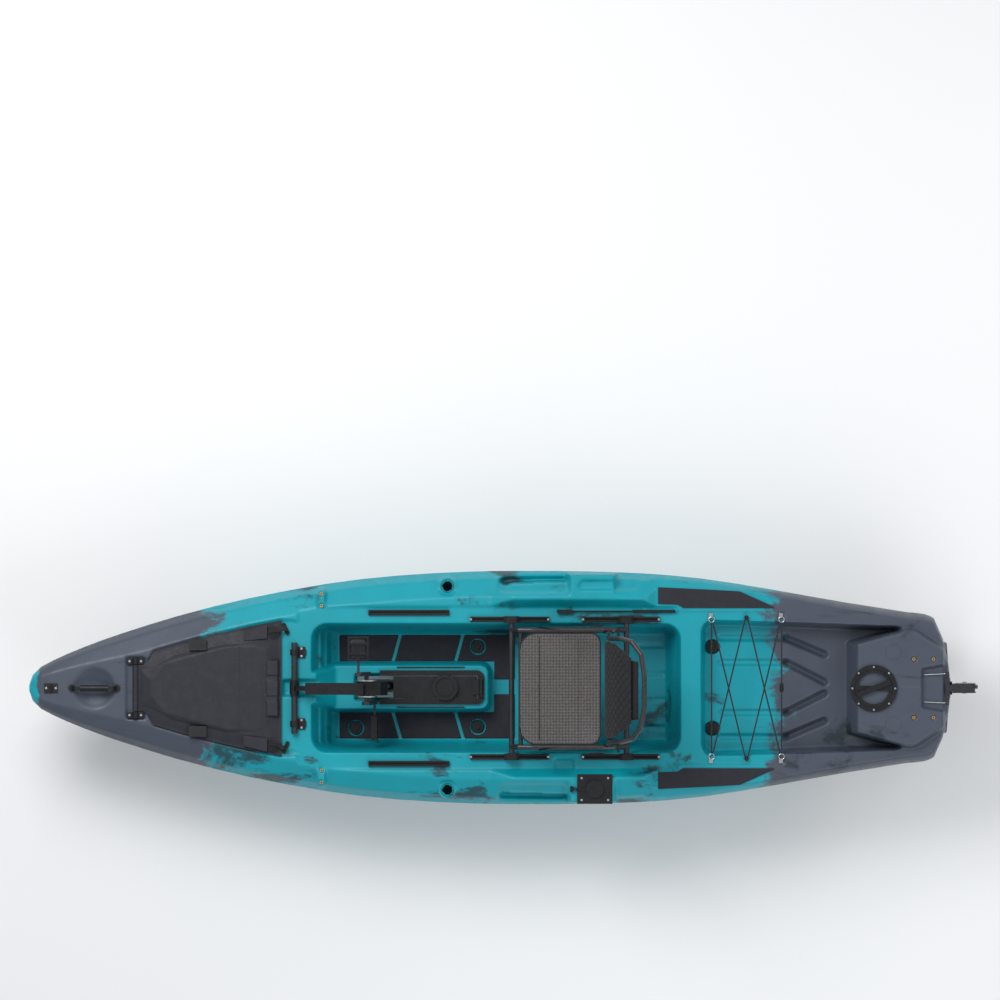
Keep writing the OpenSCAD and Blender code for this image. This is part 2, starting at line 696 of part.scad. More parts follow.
module floor_pads() {
    x0 = crank_x - 112;
    lap = 30;   // slant of the gaps between pads
    gap_w = 14;
    edges = [0, 236, 486, 700];
    color([0.17, 0.17, 0.2]) both_sides() linear_extrude_at(floor_z + gap, floor_z + pad_t)
        difference() {
            union() {
                for (i = [0:2]) {
                    a = x0 + edges[i] + (i == 0 ? 0 : gap_w);
                    b = x0 + edges[i + 1];
                    polygon([[a - (i == 0 ? 0 : lap), pad_y0], [b - (i == 2 ? 0 : lap), pad_y0],
                        [b, pad_y1], [a, pad_y1]]);
                }
                translate([well_x1 + 40, 30]) square([x0 + 700 - well_x1 - 40, pad_y1 - 30]);
            }
            for (s = SCUPPERS) translate([s[0], s[1]]) circle(r = scupper_r + 12);
        }
}
module gunwale_pads() {
    x0 = raised_x1 + 62;
    x1 = x0 + 460;
    inner = 318;
    color([0.17, 0.17, 0.2]) both_sides() linear_extrude_at(gunwale_z + gap, gunwale_z + pad_t)
        polygon([[x0, inner + 16], [x0 + 75, inner + 14], [x0 + 100, inner], [x1, inner],
            [x1, inner + 5], [x1 - 135, breadth(x1 - 135) - 28],
            [x0 + 200, breadth(x0 + 200) - flank(x0 + 200) - 2],
            [x0, breadth(x0) - flank(x0) - 4]]);
}
ring_y = 268;
cord_x0 = tank_x0 + 46;
cord_x1 = cord_x0 + 278;
cord_z = shelf_z + 8;
button_x = (cord_x0 + cord_x1) / 2;
module d_rings() {
    for (x = [cord_x0, cord_x1]) both_sides() {
        color("black") block([x - 10, ring_y + 12, shelf_z + gap], [x + 5.5, ring_y + 30, shelf_z + 6]);
        color("silver") translate([x, ring_y + 4, shelf_z + 8.5]) rotate_extrude()
            translate([11, 0]) circle(r = 2, $fn = 16);
    }
}
module bungee_buttons() {
    color("black") both_sides() translate([button_x, ring_y + 12, shelf_z + gap]) {
        cylinder(h = 3, r = 9);
        cylinder(h = 10, r = 5);
        translate([0, 0, 10]) cylinder(h = 3, r = 9);
    }
}
// Shock cord: a straight run at each end and two zigzags through the buttons
run_r = cord_d / 2;
lock_y = 2;
cord_y = ring_y - 9.3;    // where a cord ends at its ring
button_y = ring_y + 3.7;  // where a cord passes its button
function zigzag(s, z) = [[cord_x0 + 6, -s * cord_y, z], [button_x - 6, s * button_y, cord_z - 1],
    [button_x + 6, s * button_y, cord_z - 1], [cord_x1 - 6, -s * cord_y, z]];
function cord_routes() = [
    for (x = [cord_x0, cord_x1]) [[x, -cord_y, cord_z + 4], [x, cord_y, cord_z + 4]],
    zigzag(1, cord_z), zigzag(-1, cord_z + 7)];
module bungee_cords() {
    color("black") {
        for (r = cord_routes()) bent_rod(r, run_r, $fn = 8);
        translate([cord_x1, lock_y, cord_z + 4]) rotate([90, 0, 0])
            cylinder(h = 34, r = 8, center = true);
    }
}

// ---- Stern ----
port_pcd = 2 * (port_r - 8);
module stern_hatch_ring() {
    color("black") translate([port_x, 0, stern_z + gap]) difference() {
        union() {
            cylinder(h = 9, r = port_r);
            translate([0, 0, -26]) cylinder(h = 26, r = port_r - 15);
        }
        translate([0, 0, -30]) cylinder(h = 60, r = port_r - 18);
        for (i = [0:7]) rotate([0, 0, 45 * i]) translate([port_pcd / 2, 0, -1])
            cylinder(h = 12, r = 2.2);
    }
}
module stern_hatch_lid() {
    r = port_r - 18.6;
    color([0.12, 0.12, 0.12]) translate([port_x, 0, stern_z - 12]) {
        difference() {
            cylinder(h = 20, r = r);
            translate([0, 0, 8]) difference() {
                cylinder(h = 30, r = r - 12);
                block([-r, -10, -1], [r, 10, 31]);
            }
            translate([0, 0, -1]) cylinder(h = 4, r = r - 5);
        }
        translate([0, 0, 19]) rotate([0, 0, 22]) block([-r + 3, -11, 0], [r - 3, 11, 8]);
    }
}
pin_x = stern_x + 20;
pin_r = 5;
rudder_top = stern_z - 16;
tilt_x = pin_x + 40;
tilt_z = 286;
cheek_y = rudder_t / 2 + 8;
module rudder_bracket() {
    color("black") difference() {
        union() {
            block([stern_x + gap, -26, 296], [stern_x + 6, 26, stern_z - 30]);
            for (z = [300, stern_z - 42]) {
                block([stern_x + 4, -6, z], [pin_x, 6, z + 9]);
                translate([pin_x, 0, z]) cylinder(h = 9, r = 12);
            }
        }
        for (z = [300, stern_z - 42]) translate([pin_x, 0, z - 1]) cylinder(h = 12, r = pin_r + run);
    }
}
module rudder_head() {
    z0 = 248;
    z1 = rudder_top;
    color([0.13, 0.13, 0.14]) {
        difference() {
            union() {
                translate([pin_x, 0, 296]) cylinder(h = z1 - 296 + 2, r = pin_r);
                both_sides() upright(cheek_y, cheek_y + 4)
                    polygon([[pin_x + 2, z1 - 8], [pin_x + 2, 296], [pin_x + 8, z0], [pin_x + 72, z0],
                        [pin_x + 80, z0 + 12], [pin_x + 80, z1 - 10], [pin_x + 74, z1]]);
                // yoke plate with its two arms
                block([pin_x - 14, -cheek_y - 4, z1 - 6], [pin_x + 76, cheek_y + 4, z1]);
                translate([pin_x - 34, 0, z1 - 6]) block([-7, -66, 0], [7, 66, 6]);
                block([pin_x - 34, -12, z1 - 6], [pin_x, 12, z1]);
                // sleeve between the bracket's lugs
                translate([pin_x, 0, 310]) cylinder(h = stern_z - 43 - 311, r = 11);
                block([pin_x + 2, -cheek_y - 1, 312], [pin_x + 12, cheek_y + 1, stern_z - 46]);
            }
            both_sides() translate([pin_x - 34, 58, z1 - 10]) cylinder(h = 20, r = 3);
            across(tilt_x, tilt_z, 5, -60, 60);
        }
    }
}
module rudder_blade() {
    r = 25;
    le = pin_x - 6;
    te = le + rudder_chord;
    tip = -rudder_depth;
    color([0.1, 0.1, 0.1]) difference() {
        upright(-rudder_t / 2, rudder_t / 2) union() {
            translate([tilt_x, tilt_z]) circle(r = r);
            polygon([[tilt_x - r, tilt_z], [tilt_x - 42, 246], [le, 243], [le - 4, tip + 60],
                [le - 3, tip + 24], [le + 12, tip + 10], [te - 32, tip], [te - 16, tip + 6],
                [te - 10, tip + 30], [te + 4, 124], [te, 150], [te - 12, 168], [te - 32, 184],
                [te - 48, 204], [te - 52, 226], [tilt_x + r, tilt_z]]);
        }
        across(tilt_x, tilt_z, 5 + run, -60, 60);
    }
}
module rudder_bolt() {
    w = cheek_y + 4;
    color("silver") {
        across(tilt_x, tilt_z, 4.99, -w - 0.5, w + 0.5);
        for (s = [-1, 1]) across(tilt_x, tilt_z, 8, s * (w + 2.5) - 2, s * (w + 2.5) + 2);
    }
}
module rudder_cables() {
    z = stern_z - 13;
    color("silver") both_sides() rod([stern_x - 106, 54, z - 4], [pin_x - 41.3, 58, z - 4], 2);
}
steer_y = 305;
steer_x = seat_x + 210;
steer_z = shelf_z + 12;
steer_r = 3;
module steering_handle() {
    color("black") {
        rod([steer_x, steer_y, steer_z], [steer_x + 330, steer_y, steer_z], steer_r);
        block([steer_x - 30, steer_y - 7, steer_z - 4], [steer_x + 30, steer_y + 7, steer_z + 12]);
    }
}
module steering_guide() {
    x0 = steer_x + 270;
    color("black") difference() {
        union() {
            rod([x0, steer_y, steer_z], [x0 + 170, steer_y, steer_z], steer_r + 3);
            for (x = [x0 + 4, x0 + 150]) block([x, steer_y - 6, shelf_z + gap], [x + 14, steer_y + 6, steer_z]);
        }
        rod([x0 - 1, steer_y, steer_z], [x0 + 140, steer_y, steer_z], steer_r + run);
    }
}

// ---- Seat ----
module seat_frame() {
    y = seat_hw;
    in = track_y - 6;
    color([0.08, 0.08, 0.08]) {
        rod([seat_x, -in, clamp_z], [seat_x, in, clamp_z], tube_r);
        rod([seat_x1, -in, clamp_z], [seat_x1, in, clamp_z], tube_r);
        rod([seat_x + 36, -y, seat_z - 26], [seat_x + 36, y, seat_z - 26], tube_r - 2);
        both_sides() {
            bent_rod([[seat_x, y, clamp_z], [seat_x + 30, y, seat_z - 16], [seat_x + 80, y, seat_z],
                [seat_x + 360, y, seat_z], [seat_x + 405, y, seat_z - 14], [seat_x1, y, clamp_z]], tube_r);
            // lug for the backrest's pivot
            difference() {
                upright(y - tube_r - 4, y - tube_r + 4) polygon([[pivot_x - 20, seat_z - 8],
                    [pivot_x + 18, seat_z - 10], [pivot_x + 12, pivot_z + 12], [pivot_x - 12, pivot_z + 12]]);
                across(pivot_x, pivot_z, 4 + run, 0, y);
            }
        }
    }
}
module seat_clamps() {
    z0 = shelf_z + track_t + gap;
    color("black") both_sides() for (x = [seat_x, seat_x1]) difference() {
        union() {
            block([x - 30, track_y - 13, z0], [x + 30, track_y + 13, z0 + 8]);
            block([x - 20, track_y - 15, z0], [x + 20, track_y + 13, clamp_z + tube_r + 4]);
        }
        across(x, clamp_z, tube_r + run, track_y - 40, track_y - 4);
    }
}
module seat_mesh() {
    y = seat_hw - tube_r - 0.5;
    cut = 70;
    x0 = seat_x + 30;
    x1 = seat_x + 352;
    color("gray") linear_extrude_at(seat_z - 3, seat_z + 3) difference() {
        translate([x0, -y]) square([x1 - x0, 2 * y]);
        for (x = [x0, x1], s = [-1, 1]) translate([x, s * y]) circle(r = x == x0 ? cut : 40);
    }
}
// The backrest's profile, as [aft, up] from its pivot
BACK = [[0, 0], [2, 150], [14, 210], [44, 280], [92, 336], [118, back_h - 22]];
back_y = 203;
function back_at(i, y, dx = 0) = [pivot_x + BACK[i][0] + dx, y, pivot_z + BACK[i][1]];
module seat_back_frame() {
    r = tube_r - 1;
    top = pivot_z + back_h;
    side = [[pivot_x, back_y, pivot_z - 8], back_at(1, back_y), back_at(2, back_y),
        back_at(3, back_y), [pivot_x + 88, back_y - 14, pivot_z + 330],
        [pivot_x + 122, 142, top - 6], [pivot_x + 134, 60, top]];
    color([0.08, 0.08, 0.08]) {
        bent_rod(concat(side, [for (i = [len(side) - 1:-1:0]) [side[i][0], -side[i][1], side[i][2]]]), r);
        both_sides() {
            across(pivot_x, pivot_z, 4, back_y, seat_hw - 5);
            across(pivot_x, pivot_z, 7, seat_hw - tube_r + 5, seat_hw - tube_r + 9);
        }
    }
}
// A sheet along the backrest's profile, t thick, set dx off it
module back_sheet(i0, i1, dx, t, hw) {
    pts = [for (i = [i0:i1]) [BACK[i][0] + dx, BACK[i][1]]];
    upright(-hw, hw) translate([pivot_x, pivot_z])
        polygon(concat(pts, [for (i = [len(pts) - 1:-1:0]) pts[i] + [t, 0]]));
}
back_low = 62;  // height of the backrest's lower edge
module seat_back_mesh() {
    hw = back_y - tube_r + 0.2;
    shoulder = back_y - 53;
    color([0.12, 0.12, 0.13]) intersection() {
        back_sheet(0, 4, -12, 9, hw);
        union() {
            block([pivot_x - 100, -hw, pivot_z + back_low], [pivot_x + 200, hw, pivot_z + 278]);
            block([pivot_x, -shoulder, pivot_z + 270], [pivot_x + 200, shoulder, pivot_z + back_h]);
        }
    }
}
module seat_back_pad() {
    color([0.12, 0.12, 0.13]) back_sheet(3, 5, gap - 3, 12, 118);
}
strap_x0 = seat_x + 112;
strap_i = 3;
strap_y = seat_hw + tube_r + 3;
module seat_straps() {
    a = [strap_x0, seat_z - 2];
    b = [pivot_x + 34, pivot_z + 248];
    color("black") both_sides() upright(strap_y, strap_y + 2.5)
        polygon([a + [-15, 10], a + [8, -16], b + [12, -6], b + [-6, 14]]);
}
module strap_buckles() {
    t = 0.72;
    a = [strap_x0, seat_z - 2];
    b = [pivot_x + 34, pivot_z + 248];
    p = a + t * (b - a);
    w = atan2(b[1] - a[1], b[0] - a[0]);
    color("black") both_sides() {
        translate([p[0], strap_y + 2.5 + gap, p[1]]) rotate([0, -w, 0]) block([-22, 0, -17], [22, 5, 17]);
        // bolt that holds the strap to the backrest
        across(b[0], b[1], 5, back_y + tube_r - 1 + gap, strap_y - gap);
        // hook that holds it to the seat's side tube
        across(a[0], a[1], 5, seat_hw + tube_r + 0.3, strap_y - gap);
    }
}

// ---- Drive ----
bar_hl = 181;
module drive_crossbar() {
    color("black") difference() {
        across(bar_x, bar_z, bar_r, -bar_hl, bar_hl);
        across(bar_x, bar_z, bar_r - 2.5, -bar_hl - 1, bar_hl + 1);
    }
}
module crossbar_saddles() {
    y = 142;
    color("black") {
        both_sides() difference() {
            union() {
                block([bar_x - bar_r, y - 12, shelf_z + gap], [bar_x + 46, y + 12, shelf_z + 9]);
                across(bar_x, bar_z, bar_r + 5, y - 12, y + 12);
                block([bar_x + 14, y - 22, shelf_z + gap], [bar_x + 42, y + 22, shelf_z + 9]);
            }
            across(bar_x, bar_z, bar_r + run, y - 30, y + 30);
            block([bar_x - 40, y - 40, 0], [bar_x + 60, y + 40, shelf_z + gap]);
            for (s = [-1, 1]) translate([bar_x + 28, y + s * 15, shelf_z - 1]) cylinder(h = 20, r = 2.6);
        }
        // collars that keep the arm in the middle of the bar
        both_sides() difference() {
            across(bar_x, bar_z, bar_r + 4, 24.5, 33);
            across(bar_x, bar_z, bar_r + run, 20, 40);
        }
    }
}
arm_hw = 23.5;
module arm_slot(x, z, l, w, a) {
    translate([x, z]) rotate(a) union() {
        translate([-l / 2, -w / 2]) square([l, w]);
        for (s = [-1, 1]) translate([s * l / 2, 0]) circle(r = w / 2);
    }
}
head_r = 40;
module drive_arm() {
    x = bar_x;
    c = crank_z;
    web = 9;
    outline = [[x - 10, bar_z], [x + 8, c - 30], [x + 60, c + 12], [x + 88, c + 20],
        [x + 74, c + 32], [x + 45, c + 36], [x + 45, c + 40], [x + 152, c + 43],
        [x + 175, c + 58], [x + 276, c + 62], [x + 276, c - 26],
        [x + 206, c - 27], [x + 152, c - 32], [x + 96, c - 45], [x + 34, bar_z - 4]];
    color([0.1, 0.1, 0.11]) difference() {
        union() {
            upright(-web, web) polygon(outline);
            // top plate, which is as wide as the arm looks from above
            upright(-arm_hw, arm_hw) polygon([[x + 45, c + 36], [x + 152, c + 39], [x + 175, c + 54],
                [x + 276, c + 58], [x + 276, c + 62], [x + 175, c + 58], [x + 152, c + 43], [x + 45, c + 40]]);
            across(bar_x, bar_z, bar_r + 6.5, -arm_hw, arm_hw);
            // mount round the head
            across(crank_x, c, head_r + 4, -web, web);
        }
        across(bar_x, bar_z, bar_r + run, -arm_hw - 1, arm_hw + 1);
        across(crank_x, c, head_r + gap, -web - 1, web + 1);
        upright(-arm_hw - 1, arm_hw + 1) {
            for (s = [[66, -24, 24, 38], [98, 4, 32, 17], [104, -18, 32, 17], [147, 16, 30, 10],
                [150, -8, 30, 10], [205, 22, 26, 1], [207, -2, 26, 1]])
                arm_slot(x + s[0], c + s[1], s[2], 15, s[3]);
        }
        // room for the head's boss and the leg's funnel
        block([crank_x - 36, -30, 0], [crank_x + 90, 30, c - 20]);
        block([crank_x, -30, 0], [crank_x + 90, 30, c + 80]);
    }
}
leg_dx = 50;
leg_len = sqrt(leg_dx * leg_dx + (crank_z - prop_z) * (crank_z - prop_z));
leg_tilt = atan2(leg_dx, crank_z - prop_z);
prop_x = crank_x + 153;
module on_leg() {
    translate([crank_x, 0, crank_z]) rotate([0, -leg_tilt, 0]) children();
}
head_low = 56;  // from the crank down to the head's parting with the leg
// The head's casing: a drum round the crank and a boss on its after side
module head_half() {
    c = crank_z;
    difference() {
        union() {
            across(crank_x, c, head_r, gap / 2, 27);
            upright(gap / 2, 26.5) polygon([[crank_x + 4, c + head_r - 3], [crank_x + 56, c + 30],
                [crank_x + 84, c - 14], [crank_x + 78, c - head_low], [crank_x - 28, c - head_low],
                [crank_x - 34, c - 18], [crank_x - 20, c]]);
        }
        across(crank_x, c, 34, -1, 22);
        across(crank_x, c, axle_r + run, 20, 30);
        on_leg() translate([0, 0, -120]) cylinder(h = 130, r = 12);
    }
}
module head_cover_starboard() {
    color([0.1, 0.1, 0.1]) head_half();
}
module head_cover_port() {
    color([0.1, 0.1, 0.1]) mirror([0, 1, 0]) head_half();
}
shaft_r = 5;
tor_r = 26.5;
tor_x0 = prop_x - 186;
tor_x1 = prop_x - 24;
module lens(c, t) {
    r = (c * c + t * t) / (4 * t);
    intersection() {
        translate([0, r - t / 2]) circle(r = r, $fn = 96);
        translate([0, t / 2 - r]) circle(r = r, $fn = 96);
    }
}
module torpedo() {
    l = tor_x1 - tor_x0;
    translate([tor_x0, 0, prop_z]) rotate([0, 90, 0]) rotate_extrude($fn = 64)
        polygon(concat([[0, 0]], [for (a = [15:15:90]) [tor_r * sin(a), 46 * (1 - cos(a))]],
            [[tor_r, l - 46], [tor_r - 4, l - 14], [tor_r - 6.5, l], [0, l]]));
}
module drive_leg() {
    color([0.07, 0.07, 0.07]) difference() {
        union() {
            on_leg() {
                translate([0, 0, -leg_len]) linear_extrude(leg_len - 96) lens(leg_chord, leg_t);
                // funnel under the head
                translate([0, 0, -112]) linear_extrude(54 - gap) square([64, 40], center = true);
                translate([0, 0, -90]) linear_extrude(32 - gap) square([96, 48], center = true);
            }
            torpedo();
        }
        on_leg() difference() {
            translate([0, 0, -leg_len]) cylinder(h = leg_len + 10, r = shaft_r + 3);
            for (z = [-108, 70 - leg_len]) translate([0, 0, z]) difference() {
                cylinder(h = 12, r = shaft_r + 5);
                translate([0, 0, -1]) cylinder(h = 14, r = shaft_r + run);
            }
        }
        // gear case inside the torpedo
        translate([crank_x + leg_dx - 24, 0, prop_z]) rotate([0, 90, 0])
            cylinder(h = tor_x1 - crank_x - leg_dx + 12, r = 20);
        translate([crank_x + leg_dx - 24, 0, prop_z]) rotate([0, 90, 0]) cylinder(h = 48, r = 23);
        translate([tor_x1 - 30, 0, prop_z]) rotate([0, 90, 0]) cylinder(h = 40, r = 6 + run);
        // the casing's parting with the head covers
        block([crank_x - 100, -60, crank_z - head_low - gap], [crank_x + 120, 60, crank_z + 60]);
    }
    // after cap of the gear case, which carries the propeller's shaft
    color([0.07, 0.07, 0.07]) translate([tor_x1 - 13.5, 0, prop_z]) rotate([0, 90, 0])
        difference() {
            cylinder(h = 12, r = 19.8);
            translate([0, 0, -1]) cylinder(h = 30, r = 6 + run);
        }
}
module drive_fin() {
    x = prop_x;
    z = prop_z;
    color([0.07, 0.07, 0.07]) difference() {
        upright(-6, 6) polygon([[x - 176, z - 4], [x - 168, z - 40], [x - 154, z - 72],
            [x - 134, z - 104], [x - 96, z - 135], [x - 60, z - 154], [x - 44, z - 157],
            [x - 36, z - 152], [x - 34, z - 142], [x - 39, z - 113], [x - 43, z - 75],
            [x - 41, z - 41], [x - 34, z - 20], [x - 34, z - 4]]);
        translate([tor_x0 - 5, 0, z]) rotate([0, 90, 0]) cylinder(h = 300, r = tor_r + gap / 2);
    }
}
arm_y0 = 52;
axle_r = 9;
arm_t = 14;
arm_y1 = arm_y0 + arm_t;
// One crank arm, tapered from its boss to its eye; s is 1 for starboard and -1 for port
module crank_arm(s) {
    upright(min(s * arm_y0, s * arm_y1), max(s * arm_y0, s * arm_y1)) {
        circle(r = 18);
        translate([0, crank_l]) circle(r = 13);
        polygon([[-14, 0], [14, 0], [10, crank_l], [-10, crank_l]]);
    }
    // stub that the pedal turns on
    across(0, crank_l, 5, s > 0 ? arm_y1 - 1 : -pedal_y - 45, s > 0 ? pedal_y + 45 : 1 - arm_y1);
}
module crank() {
    color([0.1, 0.1, 0.1]) translate([crank_x, 0, crank_z]) {
        across(0, 0, axle_r, -arm_y1, arm_y1);
        rotate([0, -crank_lean, 0]) crank_arm(1);
        rotate([0, 180 - crank_lean, 0]) crank_arm(-1);
        // bevel gear, a smooth pitch cone
        rotate([90, 0, 0]) {
            translate([0, 0, 4.2]) cylinder(h = 3, r1 = 18, r2 = 29);
            translate([0, 0, 7.1]) cylinder(h = 5, r = 29);
        }
    }
}
module crank_discs() {
    color("silver") both_sides() difference() {
        across(crank_x, crank_z, 44, 29, 34);
        across(crank_x, crank_z, axle_r - 0.01, 20, 40);
        for (a = [0:40:320]) across(crank_x + 36 * cos(a), crank_z + 36 * sin(a), 2.5, 20, 40);
        for (a = [20:40:340]) across(crank_x + 27 * cos(a), crank_z + 27 * sin(a), 1.8, 20, 40);
    }
}
pedal_l = 84;
pedal_w = 96;
pedal_h = 24;
// Middle of a pedal
function pedal_at(s) = [crank_x - s * crank_l * sin(crank_lean), s * pedal_y,
    crank_z + s * crank_l * cos(crank_lean)];
module pedal(s, turn) {
    color([0.08, 0.08, 0.08]) translate(pedal_at(s)) rotate([0, turn, 0]) difference() {
        union() {
            for (x = [-1, 1]) block([x * (pedal_l / 2 - 5) - 5, -pedal_w / 2 + 6, -pedal_h / 2],
                [x * (pedal_l / 2 - 5) + 5, pedal_w / 2 - 6, pedal_h / 2]);
            for (y = [-1, 1]) block([-pedal_l / 2, y * (pedal_w / 2 - 4) - 4, -pedal_h / 2],
                [pedal_l / 2, y * (pedal_w / 2 - 4) + 4, pedal_h / 2]);
            for (y = [-1, 1]) block([-pedal_l / 2, y * 20 - 5, -pedal_h / 2],
                [pedal_l / 2, y * 20 + 5, pedal_h / 2]);
            across(0, 0, 9, -pedal_w / 2 + 4, pedal_w / 2 - 4);
        }
        across(0, 0, 5 + run, -pedal_w, pedal_w);
    }
}
port_turn = 88;
module pedal_port() {
    pedal(-1, port_turn);
}
module pedal_starboard() {
    pedal(1, 0);
}
upper_r = 6;
module drive_shaft() {
    cone_l = 30;
    low_l = 20;
    low_a = 68;     // half angle of the lower pinion's pitch cone
    color("silver") on_leg() {
        translate([0, 0, -cone_l]) cylinder(h = 12, r1 = upper_r - 0.6, r2 = upper_r * 0.6 - 0.6);
        translate([0, 0, 10 - leg_len]) cylinder(h = leg_len - 9 - cone_l, r = shaft_r);
        translate([0, 0, low_l * cos(low_a) - leg_len + 0.5])
            cylinder(h = 4, r = low_l * sin(low_a) - 0.4);
    }
}
module prop_shaft() {
    low_a = 27.6;   // half angle of the propeller gear's pitch cone
    low_l = 20;
    x = crank_x + leg_dx;
    color("silver") translate([x, 0, prop_z]) rotate([0, 90, 0]) {
        translate([0, 0, low_l * cos(low_a) - 7]) cylinder(h = 7, r1 = 5.4, r2 = low_l * sin(low_a) - 0.7);
        translate([0, 0, low_l * cos(low_a)]) cylinder(h = prop_x + 16 - x - low_l * cos(low_a), r = 6);
    }
}
module blade() {
    root = 13;
    rotate([0, 0, 24]) upright(-2.5, 2.5)
        polygon([[-10, root], [-20, 40], [-24, 80], [-20, 118], [-8, prop_r], [4, prop_r - 2],
            [16, 118], [20, 80], [17, 40], [10, root]]);
}
module propeller() {
    color([0.06, 0.06, 0.06]) translate([prop_x, 0, prop_z]) {
        difference() {
            union() {
                rotate([0, 90, 0]) rotate_extrude() polygon([[0, -21], [15, -21], [17, -12],
                    [17, 13], [13, 18], [9, 30], [3, 35], [0, 35]]);
                rotate([0, 0, 90]) blade();
                rotate([180, 0, 0]) rotate([0, 0, 90]) blade();
            }
            translate([-25, 0, 0]) rotate([0, 90, 0]) cylinder(h = 41.02, r = 6 - 0.005);
        }
    }
}

// ---- Drive well ----
frame_x0 = crank_x + 50;
module well_frame() {
    z0 = coaming_z + gap;
    out = slot_hw + 22;
    color("black") {
        difference() {
            union() {
                block([frame_x0, -out, z0], [well_x1 - 30, out, z0 + 12]);
                translate([well_x1 - 30, 0, z0]) block([0, -out + 30, 0], [30, out - 30, 12]);
                both_sides() translate([well_x1 - 30, out - 30, z0]) cylinder(h = 12, r = 30);
            }
            block([frame_x0 - 1, -slot_hw, z0 - 1], [slot_x1, slot_hw, z0 + 20]);
        }
        // lugs and pin of the cover's hinge
        both_sides() difference() {
            block([cover_hinge_x - 8, 30, z0 + 12], [cover_hinge_x + 8, 38, cover_hinge_z + 8]);
            across(cover_hinge_x, cover_hinge_z, 4 - 0.01, 20, 50);
        }
        across(cover_hinge_x, cover_hinge_z, 4, -40, 40);
    }
}
cover_hinge_x = well_x1 - 12;
cover_hinge_z = coaming_z + 21;
module well_cover() {
    x0 = crank_x + 104;
    z = coaming_z + 4;
    hw = slot_hw - 1.5;
    cap_x = crank_x + 310;
    color([0.07, 0.07, 0.08]) {
        difference() {
            block([x0, -hw, z], [slot_x1 - 2, hw, z + 8]);
            translate([cap_x, 0, z - 1]) cylinder(h = 20, r = 38);
        }
        difference() {
            translate([cap_x, 0, z + 8]) cylinder(h = 4.9, r = 43);
            translate([cap_x, 0, z - 1]) cylinder(h = 20, r = 38);
        }
        difference() {
            translate([cap_x, 0, z + 12.9]) cylinder(h = 14, r = 51);
            translate([cap_x, 0, z + 20]) cylinder(h = 20, r = 38);
            translate([cap_x, 0, z - 1]) cylinder(h = 14.5, r = 38);
        }
        // hinge knuckle
        difference() {
            union() {
                across(cover_hinge_x, cover_hinge_z, 8, -29, 29);
                block([slot_x1 - 20, -29, z + 7], [cover_hinge_x, 29, cover_hinge_z + 1]);
            }
            across(cover_hinge_x, cover_hinge_z, 4 + run, -30, 30);
            block([slot_x1 - 2 + 0.001, -40, 0], [well_x1, 40, coaming_z + gap + 12 + 0.4]);
        }
    }
}
// Shock cord along each side of the well, with an eyelet at each end
module well_cords() {
    z = coaming_z + 4;
    y = slot_hw + 34;
    color("black") both_sides() {
        rod([crank_x + 117, y, z], [crank_x + 388, y, z], 2.5, $fn = 8);
        for (x = [crank_x + 117, crank_x + 388])
            translate([x, y, coaming_z + gap]) cylinder(h = 9, r = 5);
    }
}
module hull_screws() {
    color("silver") {
        both_sides() for (s = [-1, 1]) screw([hatch_x + s * 23, saddle_y, rod_z - 1]);
        both_sides() for (t = TRACKS, e = [12, -12])
            screw([seat_x + (e > 0 ? t[0] : t[1]) + e * 0.3, track_y, shelf_z + track_t]);
        both_sides() for (s = [-1, 1]) screw([bar_x + 28, 142 + s * 15, shelf_z + 9]);
        for (x = [-52.5, 52.5], y = [-43.5, 43.5]) screw([plate_x + x, -plate_y + y, plate_top]);
        for (i = [0:7]) translate([port_x, 0, 0]) rotate([0, 0, 45 * i])
            translate([port_pcd / 2, 0, stern_z + gap + 9]) cylinder(h = 2, r = 4);
        for (s = [-1, 1]) screw([stem_x + 88 + s * 19, 0, deck(stem_x + 88) + gap + 4]);
    }
}

hull_node();  // hull
skid_plate();
bow_handle();
bow_padeye();
hinge_saddles();
hinge_rod();
hatch_gasket();
hatch_lid();
hatch_side_pads();
latch_keepers();
latch_port();
latch_starboard();
threaded_inserts();
gear_tracks();
rod_holders();
mount_plate();
plate_cap();
scupper_plugs();
seat_tracks();
floor_pads();
gunwale_pads();
d_rings();
bungee_buttons();
bungee_cords();
stern_hatch_ring();
stern_hatch_lid();
rudder_bracket();
rudder_head();
rudder_blade();
rudder_bolt();
rudder_cables();
steering_handle();
steering_guide();
seat_frame();
seat_clamps();
seat_mesh();
seat_back_frame();
seat_back_mesh();
seat_back_pad();
seat_straps();
strap_buckles();
drive_crossbar();
crossbar_saddles();
well_frame();
well_cover();
well_cords();
drive_arm();
head_cover_port();
head_cover_starboard();
drive_leg();
drive_fin();
crank();
crank_discs();
pedal_port();
pedal_starboard();
drive_shaft();
prop_shaft();
propeller();
hull_screws();
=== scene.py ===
"""Looks of the sit-on-top pedal kayak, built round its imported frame.

The frame's axes: +X aft to the stern, +Y to starboard, +Z up. Lengths are in metres.
"""

import json
import math

